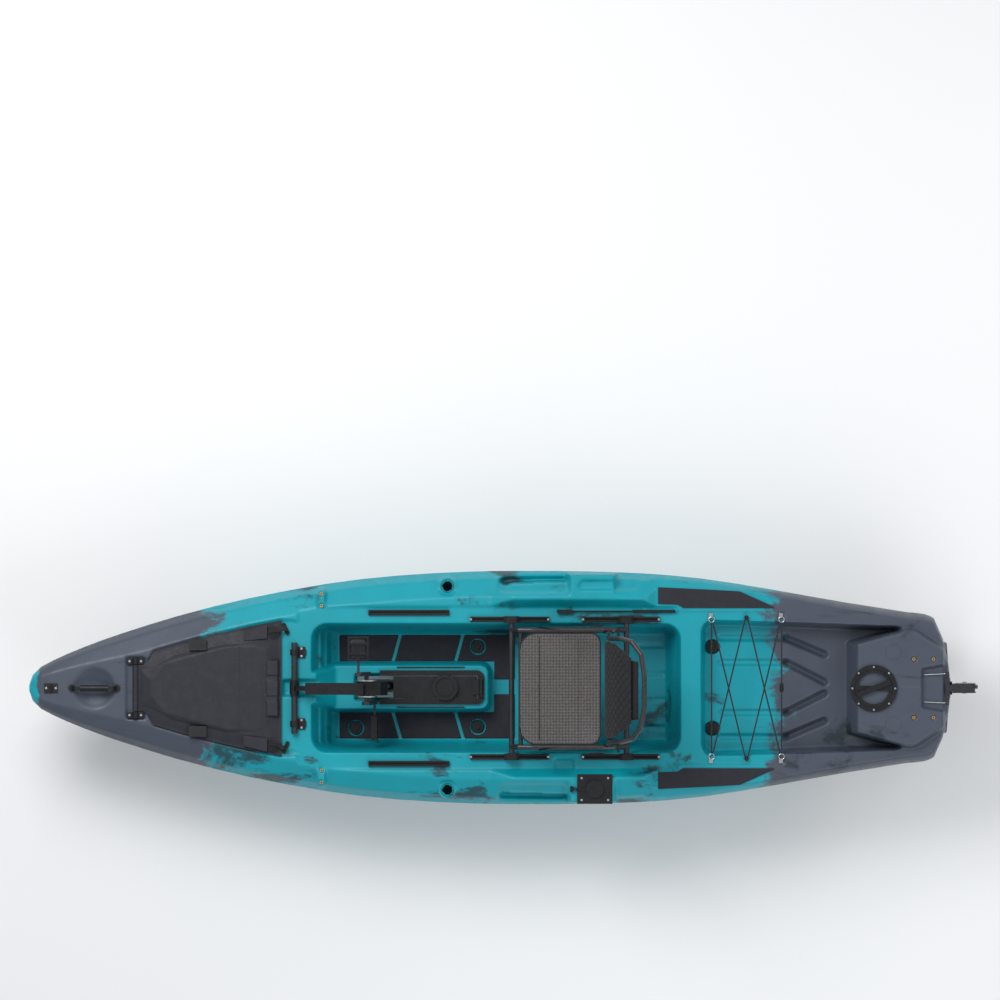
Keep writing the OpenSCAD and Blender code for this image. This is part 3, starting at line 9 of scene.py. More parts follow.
import bpy
import numpy as np
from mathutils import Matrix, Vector


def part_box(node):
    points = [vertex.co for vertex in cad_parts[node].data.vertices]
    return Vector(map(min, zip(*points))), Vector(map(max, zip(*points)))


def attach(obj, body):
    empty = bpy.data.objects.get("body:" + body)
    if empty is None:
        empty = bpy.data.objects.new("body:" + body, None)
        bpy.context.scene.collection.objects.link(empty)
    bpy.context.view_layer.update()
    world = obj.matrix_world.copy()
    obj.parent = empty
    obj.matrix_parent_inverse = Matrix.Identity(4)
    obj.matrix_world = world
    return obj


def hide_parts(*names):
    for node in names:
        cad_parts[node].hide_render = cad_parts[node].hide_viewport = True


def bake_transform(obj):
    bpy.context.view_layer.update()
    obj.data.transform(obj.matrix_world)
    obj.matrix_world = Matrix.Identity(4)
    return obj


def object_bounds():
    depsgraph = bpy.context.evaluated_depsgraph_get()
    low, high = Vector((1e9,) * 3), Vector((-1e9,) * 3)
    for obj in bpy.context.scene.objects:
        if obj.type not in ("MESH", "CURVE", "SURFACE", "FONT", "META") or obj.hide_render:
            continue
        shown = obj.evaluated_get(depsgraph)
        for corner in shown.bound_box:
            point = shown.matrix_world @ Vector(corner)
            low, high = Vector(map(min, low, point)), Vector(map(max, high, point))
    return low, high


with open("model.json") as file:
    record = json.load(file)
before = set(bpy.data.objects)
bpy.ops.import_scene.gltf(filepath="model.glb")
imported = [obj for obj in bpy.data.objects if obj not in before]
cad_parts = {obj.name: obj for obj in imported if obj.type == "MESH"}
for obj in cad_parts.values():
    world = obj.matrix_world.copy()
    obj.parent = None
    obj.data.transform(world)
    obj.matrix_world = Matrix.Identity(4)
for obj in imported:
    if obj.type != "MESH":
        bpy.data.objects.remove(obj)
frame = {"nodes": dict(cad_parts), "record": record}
cad_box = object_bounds()
NODES = frame["nodes"]
MM = 0.001

# ---- Places read from the frame ----
hull_lo, hull_hi = (np.array(v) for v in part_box("hull"))
stem_x, stern_x = hull_lo[0], hull_hi[0]
bar_lo, bar_hi = (np.array(v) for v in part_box("drive_crossbar"))
bar_x = (bar_lo[0] + bar_hi[0]) / 2
ring_lo, ring_hi = (np.array(v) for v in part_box("stern_hatch_ring"))
port_x = (ring_lo[0] + ring_hi[0]) / 2
holder_lo, holder_hi = (np.array(v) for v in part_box("rod_holders"))
holder_x, holder_top = (holder_lo[0] + holder_hi[0]) / 2, holder_hi[2]
holder_y = holder_hi[1] - (holder_hi[0] - holder_lo[0]) / 2
stern_deck = [m for m in frame["record"]["mounts"] if m["name"] == "stern_inserts"][0]["pos_m"][2]
shelf_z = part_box("seat_tracks")[0][2]
floor_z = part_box("floor_pads")[0][2]


# ---- Materials ----
class Finish:
    """A node material: texture nodes on Object or UV coordinates that end in one Principled shader."""

    def __init__(self, name, color, rough=0.5, metal=0.0, **sockets):
        self.mat = bpy.data.materials.new(name)
        self.mat.use_nodes = True
        self.tree = self.mat.node_tree
        self.shader = self.tree.nodes["Principled BSDF"]
        self.coords = self.tree.nodes.new("ShaderNodeTexCoord")
        self.shader.inputs["Base Color"].default_value = (*color, 1)
        self.shader.inputs["Roughness"].default_value = rough
        self.shader.inputs["Metallic"].default_value = metal
        for socket, value in sockets.items():
            self.shader.inputs[socket.replace("_", " ")].default_value = value
        self.height = None

    def node(self, kind, **settings):
        """One node; settings are its inputs by name, or its properties."""
        made = self.tree.nodes.new("ShaderNode" + kind)
        for key, value in settings.items():
            label = key.replace("_", " ")
            if hasattr(made, key):
                setattr(made, key, value)
            elif isinstance(value, bpy.types.NodeSocket):
                self.link(value, made.inputs[label])
            else:
                made.inputs[label].default_value = value
        return made

    def link(self, source, target):
        self.tree.links.new(source, target)

    def place(self, scale=(1, 1, 1), turn=0.0, uv=False):
        """Object (or UV) coordinates, scaled and turned about Z."""
        made = self.node("Mapping")
        made.inputs["Scale"].default_value = scale
        made.inputs["Rotation"].default_value = (0, 0, turn)
        self.link(self.coords.outputs["UV" if uv else "Object"], made.inputs["Vector"])
        return made.outputs["Vector"]

    def noise(self, scale, detail=3.0, rough=0.5, at=None, warp=0.0):
        """Value noise from 0 to 1, on Object coordinates unless at is given."""
        made = self.node("TexNoise", Scale=scale, Detail=detail, Roughness=rough, Distortion=warp)
        self.link(at or self.coords.outputs["Object"], made.inputs["Vector"])
        return made.outputs["Fac"]

    def math(self, operation, a, b=0.5, clamp=False):
        made = self.tree.nodes.new("ShaderNodeMath")
        made.operation = operation
        made.use_clamp = clamp
        for socket, value in zip(made.inputs, (a, b)):
            if isinstance(value, bpy.types.NodeSocket):
                self.link(value, socket)
            else:
                socket.default_value = value
        return made.outputs[0]

    def steps(self, source, low, high, a=0.0, b=1.0):
        """source mapped from low..high to a..b, with smooth ends."""
        made = self.node("MapRange", interpolation_type="SMOOTHSTEP")
        for key, value in (("From Min", low), ("From Max", high), ("To Min", a), ("To Max", b)):
            made.inputs[key].default_value = value
        self.link(source, made.inputs["Value"])
        return made.outputs["Result"]

    def mix(self, share, a, b):
        """Colour a where share is 0, b where it is 1."""
        made = self.node("Mix", data_type="RGBA")
        self.link(share, made.inputs["Factor"])
        for socket, value in ((made.inputs["A"], a), (made.inputs["B"], b)):
            socket = [s for s in made.inputs if s.name == socket.name and s.type == "RGBA"][0]
            if isinstance(value, bpy.types.NodeSocket):
                self.link(value, socket)
            else:
                socket.default_value = (*value, 1)
        return [s for s in made.outputs if s.type == "RGBA"][0]

    def color(self, source):
        """Base colour from a socket."""
        self.link(source, self.shader.inputs["Base Color"])
        return self

    def rough(self, source, low, high):
        """Roughness from low to high as source goes from 0 to 1."""
        self.link(self.steps(source, 0.25, 0.75, low, high), self.shader.inputs["Roughness"])
        return self

    def bump(self, source, depth, strength=1.0):
        """Relief of that depth in metres; calls add up."""
        made = self.node("Bump", Strength=strength, Distance=depth)
        self.link(source, made.inputs["Height"])
        if self.height:
            self.link(self.height, made.inputs["Normal"])
        self.height = made.outputs["Normal"]
        self.link(self.height, self.shader.inputs["Normal"])
        return self


TEAL = (0.0, 0.33, 0.40)
TEAL_DEEP = (0.0, 0.255, 0.315)
SLATE = (0.052, 0.062, 0.085)
SOOT = (0.014, 0.026, 0.034)


def hull_finish():
    """Teal plastic with slate ends, whose borders are sponged, and soot blotches and wisps."""
    f = Finish("hull_camo", TEAL, rough=0.42, Specular_IOR_Level=0.4)
    parts = f.node("SeparateXYZ")
    f.link(f.coords.outputs["Object"], parts.inputs[0])
    x = parts.outputs["X"]
    ragged = f.noise(5.5, detail=9.0, rough=0.68, warp=0.6)
    wide = f.noise(1.7, detail=3.0)
    edge = f.math("ADD", f.math("MULTIPLY", f.math("SUBTRACT", ragged, 0.5), 0.5),
                  f.math("MULTIPLY", f.math("SUBTRACT", wide, 0.5), 0.3))
    along = f.math("ADD", x, edge)
    bow = f.steps(along, -1.12, -1.07, 1.0, 0.0)
    nose = f.steps(f.math("ADD", x, f.math("MULTIPLY", edge, 0.2)), -1.80, -1.79, 1.0, 0.0)
    stern = f.steps(along, 1.13, 1.19)
    ends = f.math("ADD", f.math("SUBTRACT", bow, nose, True), stern, True)
    patch = f.noise(3.1, detail=8.0, rough=0.62, at=f.place((0.75, 1.2, 1.6), 0.3), warp=0.35)
    specks = f.noise(46.0, detail=4.0, rough=0.75)
    blotch = f.steps(f.math("ADD", patch, f.math("MULTIPLY", specks, 0.1)), 0.635, 0.70)
    smear = f.steps(f.noise(2.4, 6.0, 0.6, f.place((0.9, 3.4, 4.0), -0.5), 0.9), 0.62, 0.74)
    soot = f.math("MAXIMUM", f.math("MULTIPLY", blotch, 0.85), f.math("MULTIPLY", smear, 0.6), True)
    teal = f.mix(f.noise(7.0, 4.0), TEAL_DEEP, TEAL)
    slate = f.mix(f.noise(9.0, 6.0, 0.7), SLATE, tuple(1.3 * c for c in SLATE))
    painted = f.mix(soot, f.mix(ends, teal, slate), SOOT)
    f.color(painted)
    f.rough(f.noise(30.0, 5.0, 0.7), 0.36, 0.52)
    f.bump(f.noise(900.0, 2.0), 0.00012, 0.6)
    f.bump(f.noise(14.0, 2.0), 0.0012, 0.25)
    return f.mat


def plastic_finish(name, color, rough, grain=1100.0, depth=0.00018, sheen=0.0):
    """Moulded plastic: a fine pebble grain, soft mottling and scuffs that change its gloss."""
    f = Finish(name, color, rough, Sheen_Weight=sheen, Specular_IOR_Level=0.5 if max(color) > 0.1 else 0.3)
    dusty = tuple(min(1.0, 1.3 * c + 0.003) for c in color)
    f.color(f.mix(f.steps(f.noise(24.0, 6.0, 0.7), 0.35, 0.8), color, dusty))
    f.rough(f.noise(60.0, 5.0, 0.7, f.place((1, 3, 1))), rough - 0.09, rough + 0.1)
    pebble = f.node("TexVoronoi", Scale=grain)
    f.link(f.coords.outputs["Object"], pebble.inputs["Vector"])
    f.bump(pebble.outputs["Distance"], depth, 0.5)
    return f.mat


def foam_finish():
    """Closed-cell foam: open pores, a brushed nap and a dusty bloom."""
    f = Finish("foam_sheet", (0.02, 0.02, 0.026), 0.82, Sheen_Weight=0.06, Sheen_Roughness=0.6,
               Specular_IOR_Level=0.25)
    cells = f.noise(1500.0, 3.0, 0.7)
    f.color(f.mix(cells, (0.014, 0.014, 0.019), (0.034, 0.034, 0.043)))
    f.rough(f.noise(40.0), 0.74, 0.9)
    f.bump(cells, 0.0003, 0.7)
    f.bump(f.noise(180.0, 3.0), 0.0002, 0.5)
    return f.mat


def metal_finish(name, color, rough, along=(1, 40, 40)):
    """Metal brushed along one axis, with cloudy handling marks."""
    f = Finish(name, color, rough, metal=1.0)
    brushed = f.noise(300.0, 2.0, 0.6, f.place(along))
    f.color(f.mix(f.noise(35.0, 4.0), color, tuple(0.78 * c for c in color)))
    f.rough(brushed, rough - 0.08, rough + 0.14)
    f.bump(brushed, 0.00005, 0.4)
    return f.mat


def tube_finish():
    """Powder coat: orange-peel satin black."""
    f = Finish("powder_coat", (0.016, 0.016, 0.018), 0.3, Coat_Weight=0.25, Coat_Roughness=0.3)
    f.color(f.mix(f.noise(30.0, 5.0), (0.012, 0.012, 0.014), (0.026, 0.026, 0.03)))
    f.rough(f.noise(80.0, 4.0), 0.25, 0.4)
    f.bump(f.noise(650.0, 2.0), 0.0001, 0.5)
    return f.mat


def weave_finish(name, dark, light, across, along, depth, rough=0.75, accent=None):
    """Woven cloth on UVs in metres: crossed threads, every second one over, so many per metre."""
    f = Finish(name, dark, rough, Sheen_Weight=0.08, Sheen_Roughness=0.5, Specular_IOR_Level=0.3)
    waves = []
    for axis, count in (("X", across), ("Y", along)):
        wave = f.node("TexWave", wave_type="BANDS", bands_direction=axis, Scale=count * 0.314)
        wave.inputs["Distortion"].default_value = 0.15
        f.link(f.place(uv=True), wave.inputs["Vector"])
        waves.append(wave.outputs["Fac"])
    thread = f.math("MULTIPLY", *waves)
    color = f.mix(f.steps(thread, 0.2, 0.6), dark, light)
    if accent:
        color = f.mix(f.steps(f.noise(700.0, 1.0), 0.56, 0.66), color, accent)
    f.color(color)
    f.rough(f.noise(60.0), rough - 0.08, rough + 0.08)
    f.bump(thread, depth)
    return f.mat


FINISH = {
    "hull_plastic": hull_finish(),
    "liner_plastic": plastic_finish("liner_plastic", TEAL_DEEP, 0.45),
    "black_plastic": plastic_finish("black_plastic", (0.009, 0.009, 0.01), 0.42),
    "lid_plastic": plastic_finish("lid_plastic", (0.02, 0.02, 0.027), 0.55, grain=600.0, depth=0.0003),
    "drive_plastic": plastic_finish("drive_plastic", (0.007, 0.007, 0.009), 0.34),
    "black_tube": tube_finish(),
    "bare_metal": metal_finish("bare_aluminium", (0.62, 0.63, 0.65), 0.3),
    "steel": metal_finish("stainless_steel", (0.66, 0.66, 0.67), 0.24),
    "brass": metal_finish("turned_brass", (0.72, 0.50, 0.22), 0.28),
    "foam": foam_finish(),
    "seal_rubber": plastic_finish("soft_rubber", (0.02, 0.02, 0.022), 0.7, grain=500.0),
    "seat_mesh_fabric": weave_finish("seat_mesh", (0.012, 0.012, 0.014), (0.26, 0.265, 0.28), 170, 170,
                                     0.0006, accent=(0.2, 0.15, 0.1)),
    "back_fabric": weave_finish("back_mesh", (0.006, 0.006, 0.007), (0.03, 0.03, 0.034), 420, 420, 0.0003),
    "webbing": weave_finish("webbing", (0.01, 0.01, 0.011), (0.045, 0.045, 0.05), 330, 900, 0.0003),
    "cord": weave_finish("braided_cord", (0.012, 0.012, 0.013), (0.06, 0.06, 0.065), 500, 500, 0.0003),
}
BEVEL = {"hull_screws": 0.0004, "threaded_inserts": 0.0003, "d_rings": 0.0003, "rudder_cables": 0.0,
         "bow_padeye": 0.0006, "crank_discs": 0.0005}


def dress(node, slot):
    """A CAD node's finish, with its triangles joined and its edges rounded."""
    thing = NODES[node]
    thing.data.materials.clear()
    thing.data.materials.append(FINISH[slot])
    thing.data.polygons.foreach_set("use_smooth", np.ones(len(thing.data.polygons), bool))
    weld = thing.modifiers.new("join", "WELD")
    weld.merge_threshold = 0.00002
    width = BEVEL.get(node, 0.0012)
    if width:
        bevel = thing.modifiers.new("round", "BEVEL")
        bevel.width = width
        bevel.segments = 2
        bevel.limit_method = "ANGLE"
        bevel.angle_limit = math.radians(32)
        bevel.harden_normals = True
    thing.modifiers.new("shade", "WEIGHTED_NORMAL").keep_sharp = True


for part in frame["record"]["subparts"]:
    dress(part["node"], part["material_slot"])


# ---- Surfaces ----
def grid_faces(rows, cols, closed=False):
    """Quads of a rows x cols grid of points; closed joins the last column to the first."""
    a = np.arange(rows * cols).reshape(rows, cols)
    b = np.roll(a, -1, axis=1)
    last = cols if closed else cols - 1
    return np.stack([a[:-1, :last], b[:-1, :last], b[1:, :last], a[1:, :last]], -1).reshape(-1, 4)


def piece(name, points, faces, slot, body, replaced=(), uv=None, smooth=True, normals=None):
    """A mesh piece from arrays of points and faces, with its finish, body and the nodes it replaces."""
    mesh = bpy.data.meshes.new(name)
    faces = faces.tolist() if isinstance(faces, np.ndarray) else faces
    mesh.from_pydata(np.asarray(points, float).reshape(-1, 3).tolist(), [], faces)
    mesh.polygons.foreach_set("use_smooth", np.full(len(mesh.polygons), smooth))
    if uv is not None:
        corner = np.empty(len(mesh.loops), int)
        mesh.loops.foreach_get("vertex_index", corner)
        mesh.uv_layers.new(name="UVMap").data.foreach_set("uv", np.asarray(uv).reshape(-1, 2)[corner].ravel())
    if normals is not None:
        mesh.normals_split_custom_set_from_vertices(normals.tolist())
    mesh.materials.append(FINISH[slot])
    thing = bpy.data.objects.new(name, mesh)
    bpy.context.scene.collection.objects.link(thing)
    if body:
        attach(thing, body)
    if replaced:
        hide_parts(*replaced)
    return thing


def unit(v):
    """Vectors at length one."""
    return v / np.maximum(np.linalg.norm(v, axis=-1, keepdims=True), 1e-12)


def smooth_path(points, count):
    """Catmull-Rom curve through the points, at count places evenly spread along it."""
    p = np.asarray(points, float)
    ends = np.vstack([2 * p[0] - p[1], p, 2 * p[-1] - p[-2]])
    t = np.linspace(0, 1, 24, endpoint=False)[:, None]
    a, b, c, d = (ends[i:len(ends) - 3 + i, None] for i in range(4))
    curve = 0.5 * (2 * b + (c - a) * t + (2 * a - 5 * b + 4 * c - d) * t**2 + (3 * b - a - 3 * c + d) * t**3)
    curve = np.vstack([curve.reshape(-1, p.shape[1]), p[-1:]])
    run = np.r_[0, np.cumsum(np.linalg.norm(np.diff(curve, axis=0), axis=1))]
    at = np.linspace(0, run[-1], count)
    return np.stack([np.interp(at, run, curve[:, k]) for k in range(p.shape[1])], -1)


def tube(path, radius, sides=12, squash=1.0):
    """Round tube along a path, with closed ends: rings of points turned from one to the next."""
    path = np.asarray(path, float)
    along = unit(np.gradient(path, axis=0))
    side = np.empty_like(path)
    first = np.cross(along[0], [0, 0, 1.0])
    side[0] = unit(first if np.linalg.norm(first) > 0.1 else np.cross(along[0], [1.0, 0, 0]))
    for i in range(1, len(path)):
        side[i] = unit(side[i - 1] - along[i] * np.dot(side[i - 1], along[i]))
    up = np.cross(along, side)
    r = np.broadcast_to(radius, len(path))[:, None, None]
    a = np.linspace(0, 2 * np.pi, sides, endpoint=False)[None, :, None]
    rings = path[:, None] + r * (np.cos(a) * side[:, None] + squash * np.sin(a) * up[:, None])
    run = np.r_[0, np.cumsum(np.linalg.norm(np.diff(path, axis=0), axis=1))]
    v, u = np.meshgrid(run, np.linspace(0, 2 * np.pi * float(np.mean(radius)), sides), indexing="ij")
    points = np.vstack([rings.reshape(-1, 3), path[:1], path[-1:]])
    body = grid_faces(len(path), sides, True)
    n = len(path) * sides
    i = np.arange(sides)
    j = (i + 1) % sides
    tail = (len(path) - 1) * sides
    caps = np.vstack([np.stack([i, np.full(sides, n), j], -1),
                      np.stack([tail + j, np.full(sides, n + 1), tail + i], -1)])
    uv = np.vstack([np.stack([u, v], -1).reshape(-1, 2), [[0, 0]], [[0, run[-1]]]])
    return points, body[:, ::-1].tolist() + caps.tolist(), uv


# ---- Hull skin ----
CELL = 0.004
EDGE = 0.0006


def cast_height(x, y, upward, node="hull"):
    """Height of a CAD node under (or over) each place, and whether there is any of it there."""
    rows, cols = x.shape
    start = hull_hi[2] + 0.2 if not upward else hull_lo[2] - 0.2
    points = np.stack([x, y, np.full_like(x, start)], -1).reshape(-1, 3)
    mesh = bpy.data.meshes.new("probe")
    mesh.from_pydata(points.tolist(), [], grid_faces(rows, cols).tolist())
    probe = bpy.data.objects.new("probe", mesh)
    bpy.context.scene.collection.objects.link(probe)
    wrap = probe.modifiers.new("cast", "SHRINKWRAP")
    wrap.wrap_method = "PROJECT"
    wrap.use_project_z = True
    wrap.use_positive_direction = upward
    wrap.use_negative_direction = not upward
    wrap.target = NODES[node]
    bpy.context.view_layer.update()
    done = probe.evaluated_get(bpy.context.evaluated_depsgraph_get())
    out = np.empty(rows * cols * 3)
    done.data.vertices.foreach_get("co", out)
    bpy.data.objects.remove(probe)
    bpy.data.meshes.remove(mesh)
    height = out.reshape(rows, cols, 3)[..., 2]
    return height, np.abs(height - start) > 1e-6


def blur(field, passes):
    """Binomial blur over the grid, a cell wide each pass, which leaves a fillet at each corner."""
    for _ in range(passes):
        for axis in (0, 1):
            padded = np.pad(field, [(1, 1) if axis == k else (0, 0) for k in (0, 1)], mode="edge")
            part = [np.take(padded, range(i, i + field.shape[axis]), axis) for i in range(3)]
            field = 0.25 * part[0] + 0.5 * part[1] + 0.25 * part[2]
    return field


def rounded_inside(x, y, x0, x1, half, radius):
    """Distance inside a rounded rectangle that is centred on the keel line; negative outside."""
    px = np.abs(x - (x0 + x1) / 2) - (x1 - x0) / 2 + radius
    py = np.abs(y) - half + radius
    corner = np.hypot(np.maximum(px, 0), np.maximum(py, 0)) + np.minimum(np.maximum(px, py), 0)
    return radius - corner


def capsule(x, y, a, b, radius):
    """Distance inside a slot with round ends that runs from a to b."""
    ax, ay, bx, by = *a, *b
    t = np.clip(((x - ax) * (bx - ax) + (y - ay) * (by - ay)) / ((bx - ax)**2 + (by - ay)**2), 0, 1)
    return radius - np.hypot(x - ax - t * (bx - ax), y - ay - t * (by - ay))


def press(height, inside, depth, edge=0.006, where=None):
    """height lowered by depth inside a shape, over a sloping edge."""
    drop = depth * np.clip(inside / edge, 0, 1)
    return height - (drop if where is None else np.where(where, drop, 0))


def breadth_of(x):
    """Half breadth of the hull and the height of its widest line at each x, cast from the side."""
    z = np.linspace(hull_lo[2] + 0.2, hull_lo[2] + 0.345, 59)
    gx, gz = np.meshgrid(x, z, indexing="ij")
    points = np.stack([gx, np.full_like(gx, 0.8), gz], -1).reshape(-1, 3)
    mesh = bpy.data.meshes.new("probe")
    mesh.from_pydata(points.tolist(), [], grid_faces(*gx.shape).tolist())
    probe = bpy.data.objects.new("probe", mesh)
    bpy.context.scene.collection.objects.link(probe)
    wrap = probe.modifiers.new("cast", "SHRINKWRAP")
    wrap.wrap_method = "PROJECT"
    wrap.use_project_y = True
    wrap.use_positive_direction = False
    wrap.use_negative_direction = True
    wrap.target = NODES["hull"]
    bpy.context.view_layer.update()
    done = probe.evaluated_get(bpy.context.evaluated_depsgraph_get())
    out = np.empty(gx.size * 3)
    done.data.vertices.foreach_get("co", out)
    bpy.data.objects.remove(probe)
    bpy.data.meshes.remove(mesh)
    y = out.reshape(*gx.shape, 3)[..., 1]
    y = np.where(y > 0.79, 0, y)
    best = np.argmax(y, axis=1)
    return y[np.arange(len(x)), best], gz[np.arange(len(x)), best]


def plate(x, y, x0, x1, y0, y1, radius):
    """Distance inside a rounded rectangle, given by its edges."""
    return rounded_inside(x, y - (y0 + y1) / 2, x0, x1, (y1 - y0) / 2, radius)


def mould_deck(x, y, z):
    """The deck's moulded detail: four terraces round the cockpit, floor channels, pockets and steps."""
    x0, x1 = bar_x + 0.055, bar_x + 0.055 + 1.483
    front = np.where(x < x0 + 0.114, x0 + (x - x0) * 0.53, x)
    inside = rounded_inside(front, y, x0, x1, 0.273, 0.06)
    run = np.array([0, 3, 14, 17, 27, 30, 39, 42, 60]) * MM
    fall = np.array([0, 46, 48, 98, 100, 150, 152, 202, 235]) * MM
    ledge = shelf_z - np.interp(inside, run, fall)
    z = np.where((inside > 0) & (inside < 0.06) & (z < ledge), ledge, z)
    # fore-aft channels behind the seat and in the tank well, the latter turning inward at the stern
    floor = np.abs(z - floor_z) < 0.004
    tank = (x > x1 + 0.08) & (np.abs(z - 0.25) < 0.004)
    for side in (-1, 1):
        for at in (0.052, 0.163):
            z = press(z, capsule(x, y, (0.597, side * at), (0.703, side * at), 0.0105), 0.007, where=floor)
        for at, end in ((0.197, 0.132), (0.100, 0.022)):
            z = press(z, capsule(x, y, (0.92, side * at), (1.18, side * at), 0.0135), 0.012, where=tank)
            z = press(z, capsule(x, y, (1.18, side * at), (1.333, side * end), 0.0135), 0.024, where=tank)
    # pockets in the gunwale, and the sunk step outside the foam pads
    z = press(z, plate(x - 0.35 * np.maximum(y - 0.40, 0), y, 0.348, 0.585, 0.388, 0.430, 0.012), 0.012)
    z = press(z, plate(x, y, 0.255, 0.337, -0.343, -0.280, 0.01), 0.012)
    z = press(z, plate(x, y, 0.602, 0.622, 0.315, 0.380, 0.005), 0.006)
    for side in (-1, 1):
        z = press(z, capsule(x, y, (0.062, side * 0.4075), (0.283, side * 0.4075), 0.033), 0.014, edge=0.01)
    z = press(z, capsule(x, y, (1.635, 0), (1.712, 0), 0.005), 0.006, where=x > 1.6)
    # the deck closed round the rod holders' tubes
    for side in (-1, 1):
        near = np.hypot(x - holder_x, y - side * holder_y)
        z = np.where(near < 0.036, holder_top - 0.0015, z)
    return z


def deck_skin():
    """The deck seen from above, as a height over each place, out to the hull's widest line."""
    xs = np.arange(stem_x + EDGE, stern_x, CELL)
    xs = np.r_[xs[:-1], stern_x - EDGE]
    edge, edge_z = breadth_of(xs)
    half = int(np.ceil(hull_hi[1] / CELL))
    ys = np.arange(-half, half + 1) * CELL
    y = np.clip(ys[None, :], -edge[:, None] + EDGE, edge[:, None] - EDGE)
    x = np.broadcast_to(xs[:, None], y.shape).copy()
    z, solid = cast_height(x, y, False)
    z = np.where(solid, z, hull_lo[2] + 0.02)
    # a collar of the deck's height carries the stern hatch's ring past the block's sloping front
    port = np.hypot(x - port_x, y) < 0.089
    z = np.where(port, np.maximum(z, stern_deck - 0.0015), z)
    solid = solid | port
    z = mould_deck(x, y, z)
    z = blur(z, 2)
    near = np.hypot(x - holder_x, np.abs(y) - holder_y)
    solid = np.where(near < 0.023, False, solid | (near < 0.042))
    rim = np.abs(ys)[None, :] >= edge[:, None] - EDGE
    z = np.where(rim, edge_z[:, None], z)
    y = np.where(rim, np.sign(ys)[None, :] * edge[:, None], y)
    return xs, x, y, z, edge, edge_z, solid


def skin_normals(points, faces):
    """Point normals of a quad mesh, weighted by area."""
    a, b, c, d = (points[faces[:, k]] for k in range(4))
    face = np.cross(c - a, d - b)
    out = np.zeros_like(points)
    for k in range(4):
        np.add.at(out, faces[:, k], face)
    return unit(out)


def hull_skin():
    """Deck and bottom skins that meet at the hull's widest line, cut into pieces along the boat."""
    xs, x, y, z, edge, edge_z, solid = deck_skin()
    rows, cols = x.shape
    top = np.stack([x, y, z], -1).reshape(-1, 3)
    faces = grid_faces(rows, cols)[:, ::-1]
    hole = ~solid.reshape(-1)[faces].any(axis=1)
    p = top[faces]
    area = np.linalg.norm(np.cross(p[:, 2] - p[:, 0], p[:, 3] - p[:, 1]), axis=1)
    faces = faces[~hole & (area > 1e-10)]
    share = np.sin(np.linspace(-1, 1, 97) * np.pi / 2)
    by = edge[:, None] * share[None, :]
    bx = np.broadcast_to(xs[:, None], by.shape).copy()
    inner = np.clip(by, -edge[:, None] + EDGE, edge[:, None] - EDGE)
    bz, bsolid = cast_height(bx, inner, True)
    bz[:, 0] = bz[:, -1] = edge_z
    bz = np.where(bsolid, bz, floor_z)
    mid = blur(bz, 1)
    bz[:, 2:-2] = mid[:, 2:-2]
    under = np.stack([bx, by, bz], -1).reshape(-1, 3)
    ufaces = grid_faces(*bx.shape)
    uhole = ~bsolid.reshape(-1)[ufaces].any(axis=1)
    ufaces = ufaces[~uhole]
    for name, pts, fcs, parts in (("deck", top, faces, 3), ("bottom", under, ufaces, 2)):
        normals = skin_normals(pts, fcs)
        middle = pts[fcs].mean(axis=1)[:, 0]
        cuts = np.linspace(stem_x - 0.01, stern_x + 0.01, parts + 1)
        for k in range(parts):
            mine = fcs[(middle >= cuts[k]) & (middle < cuts[k + 1])]
            used, index = np.unique(mine, return_inverse=True)
            piece(f"hull_{name}_{k}", pts[used], index.reshape(-1, 4), "hull_plastic", "hull",
                  ("hull",) if k == 0 and name == "deck" else (), normals=normals[used])
    # closing strips at the stem and the stern
    for name, row in (("stem", 0), ("stern", rows - 1)):
        upper = top.reshape(rows, cols, 3)[row]
        order = np.linspace(-1, 1, 41) * edge[row]
        hi = np.interp(order, upper[:, 1], upper[:, 2])
        lo = np.interp(order, under.reshape(*bx.shape, 3)[row, :, 1], under.reshape(*bx.shape, 3)[row, :, 2])
        strip = np.stack([np.stack([np.full(41, xs[row]), order, v], -1) for v in (hi, lo)])
        cap = grid_faces(2, 41)
        piece(f"hull_{name}_face", strip, cap if name == "stem" else cap[:, ::-1], "hull_plastic", "hull")


hull_skin()


def ring(name, x, y, z, inner, outer, drop=0.0, rows=4, height=0.0):
    """A flat moulded ring (or disc, when inner is 0) on the deck, its outer edge lowered by drop."""
    a = np.linspace(0, 2 * np.pi, 72, endpoint=False)
    r = np.r_[np.linspace(inner, outer, rows), outer]
    h = np.r_[np.full(rows, z + height), z - drop]
    points = np.stack([x + r[:, None] * np.cos(a), y + r[:, None] * np.sin(a),
                       np.broadcast_to(h[:, None], (rows + 1, 72))], -1)
    piece(name, points, grid_faces(rows + 1, 72, True), "hull_plastic", "hull", smooth=False)


for side, tag in ((-1, "port"), (1, "starboard")):
    ring("holder_collar_" + tag, holder_x, side * holder_y, holder_top, 0.0245, 0.034, 0.004)
    ring("moulded_circle_" + tag, 1.601, side * 0.145, stern_deck, 0.0005, 0.030, 0.002, height=0.0015)


# ---- Foam ----
def foam_pads():
    """The cut foam sheets, with softly rounded edges, in place of their plain CAD solids."""
    for node, body, slot in (("floor_pads", "hull", "foam"), ("gunwale_pads", "hull", "foam"),
                             ("hatch_side_pads", "hatch", "seal_rubber")):
        source = NODES[node]
        bevel = source.modifiers["round"]
        bevel.width, bevel.segments = 0.003, 4
        bpy.context.view_layer.update()
        mesh = bpy.data.meshes.new_from_object(source.evaluated_get(bpy.context.evaluated_depsgraph_get()))
        mesh.transform(source.matrix_world)
        mesh.name = node + "_cut"
        thing = bpy.data.objects.new(node + "_cut", mesh)
        bpy.context.scene.collection.objects.link(thing)
        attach(thing, body)
        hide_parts(node)


foam_pads()


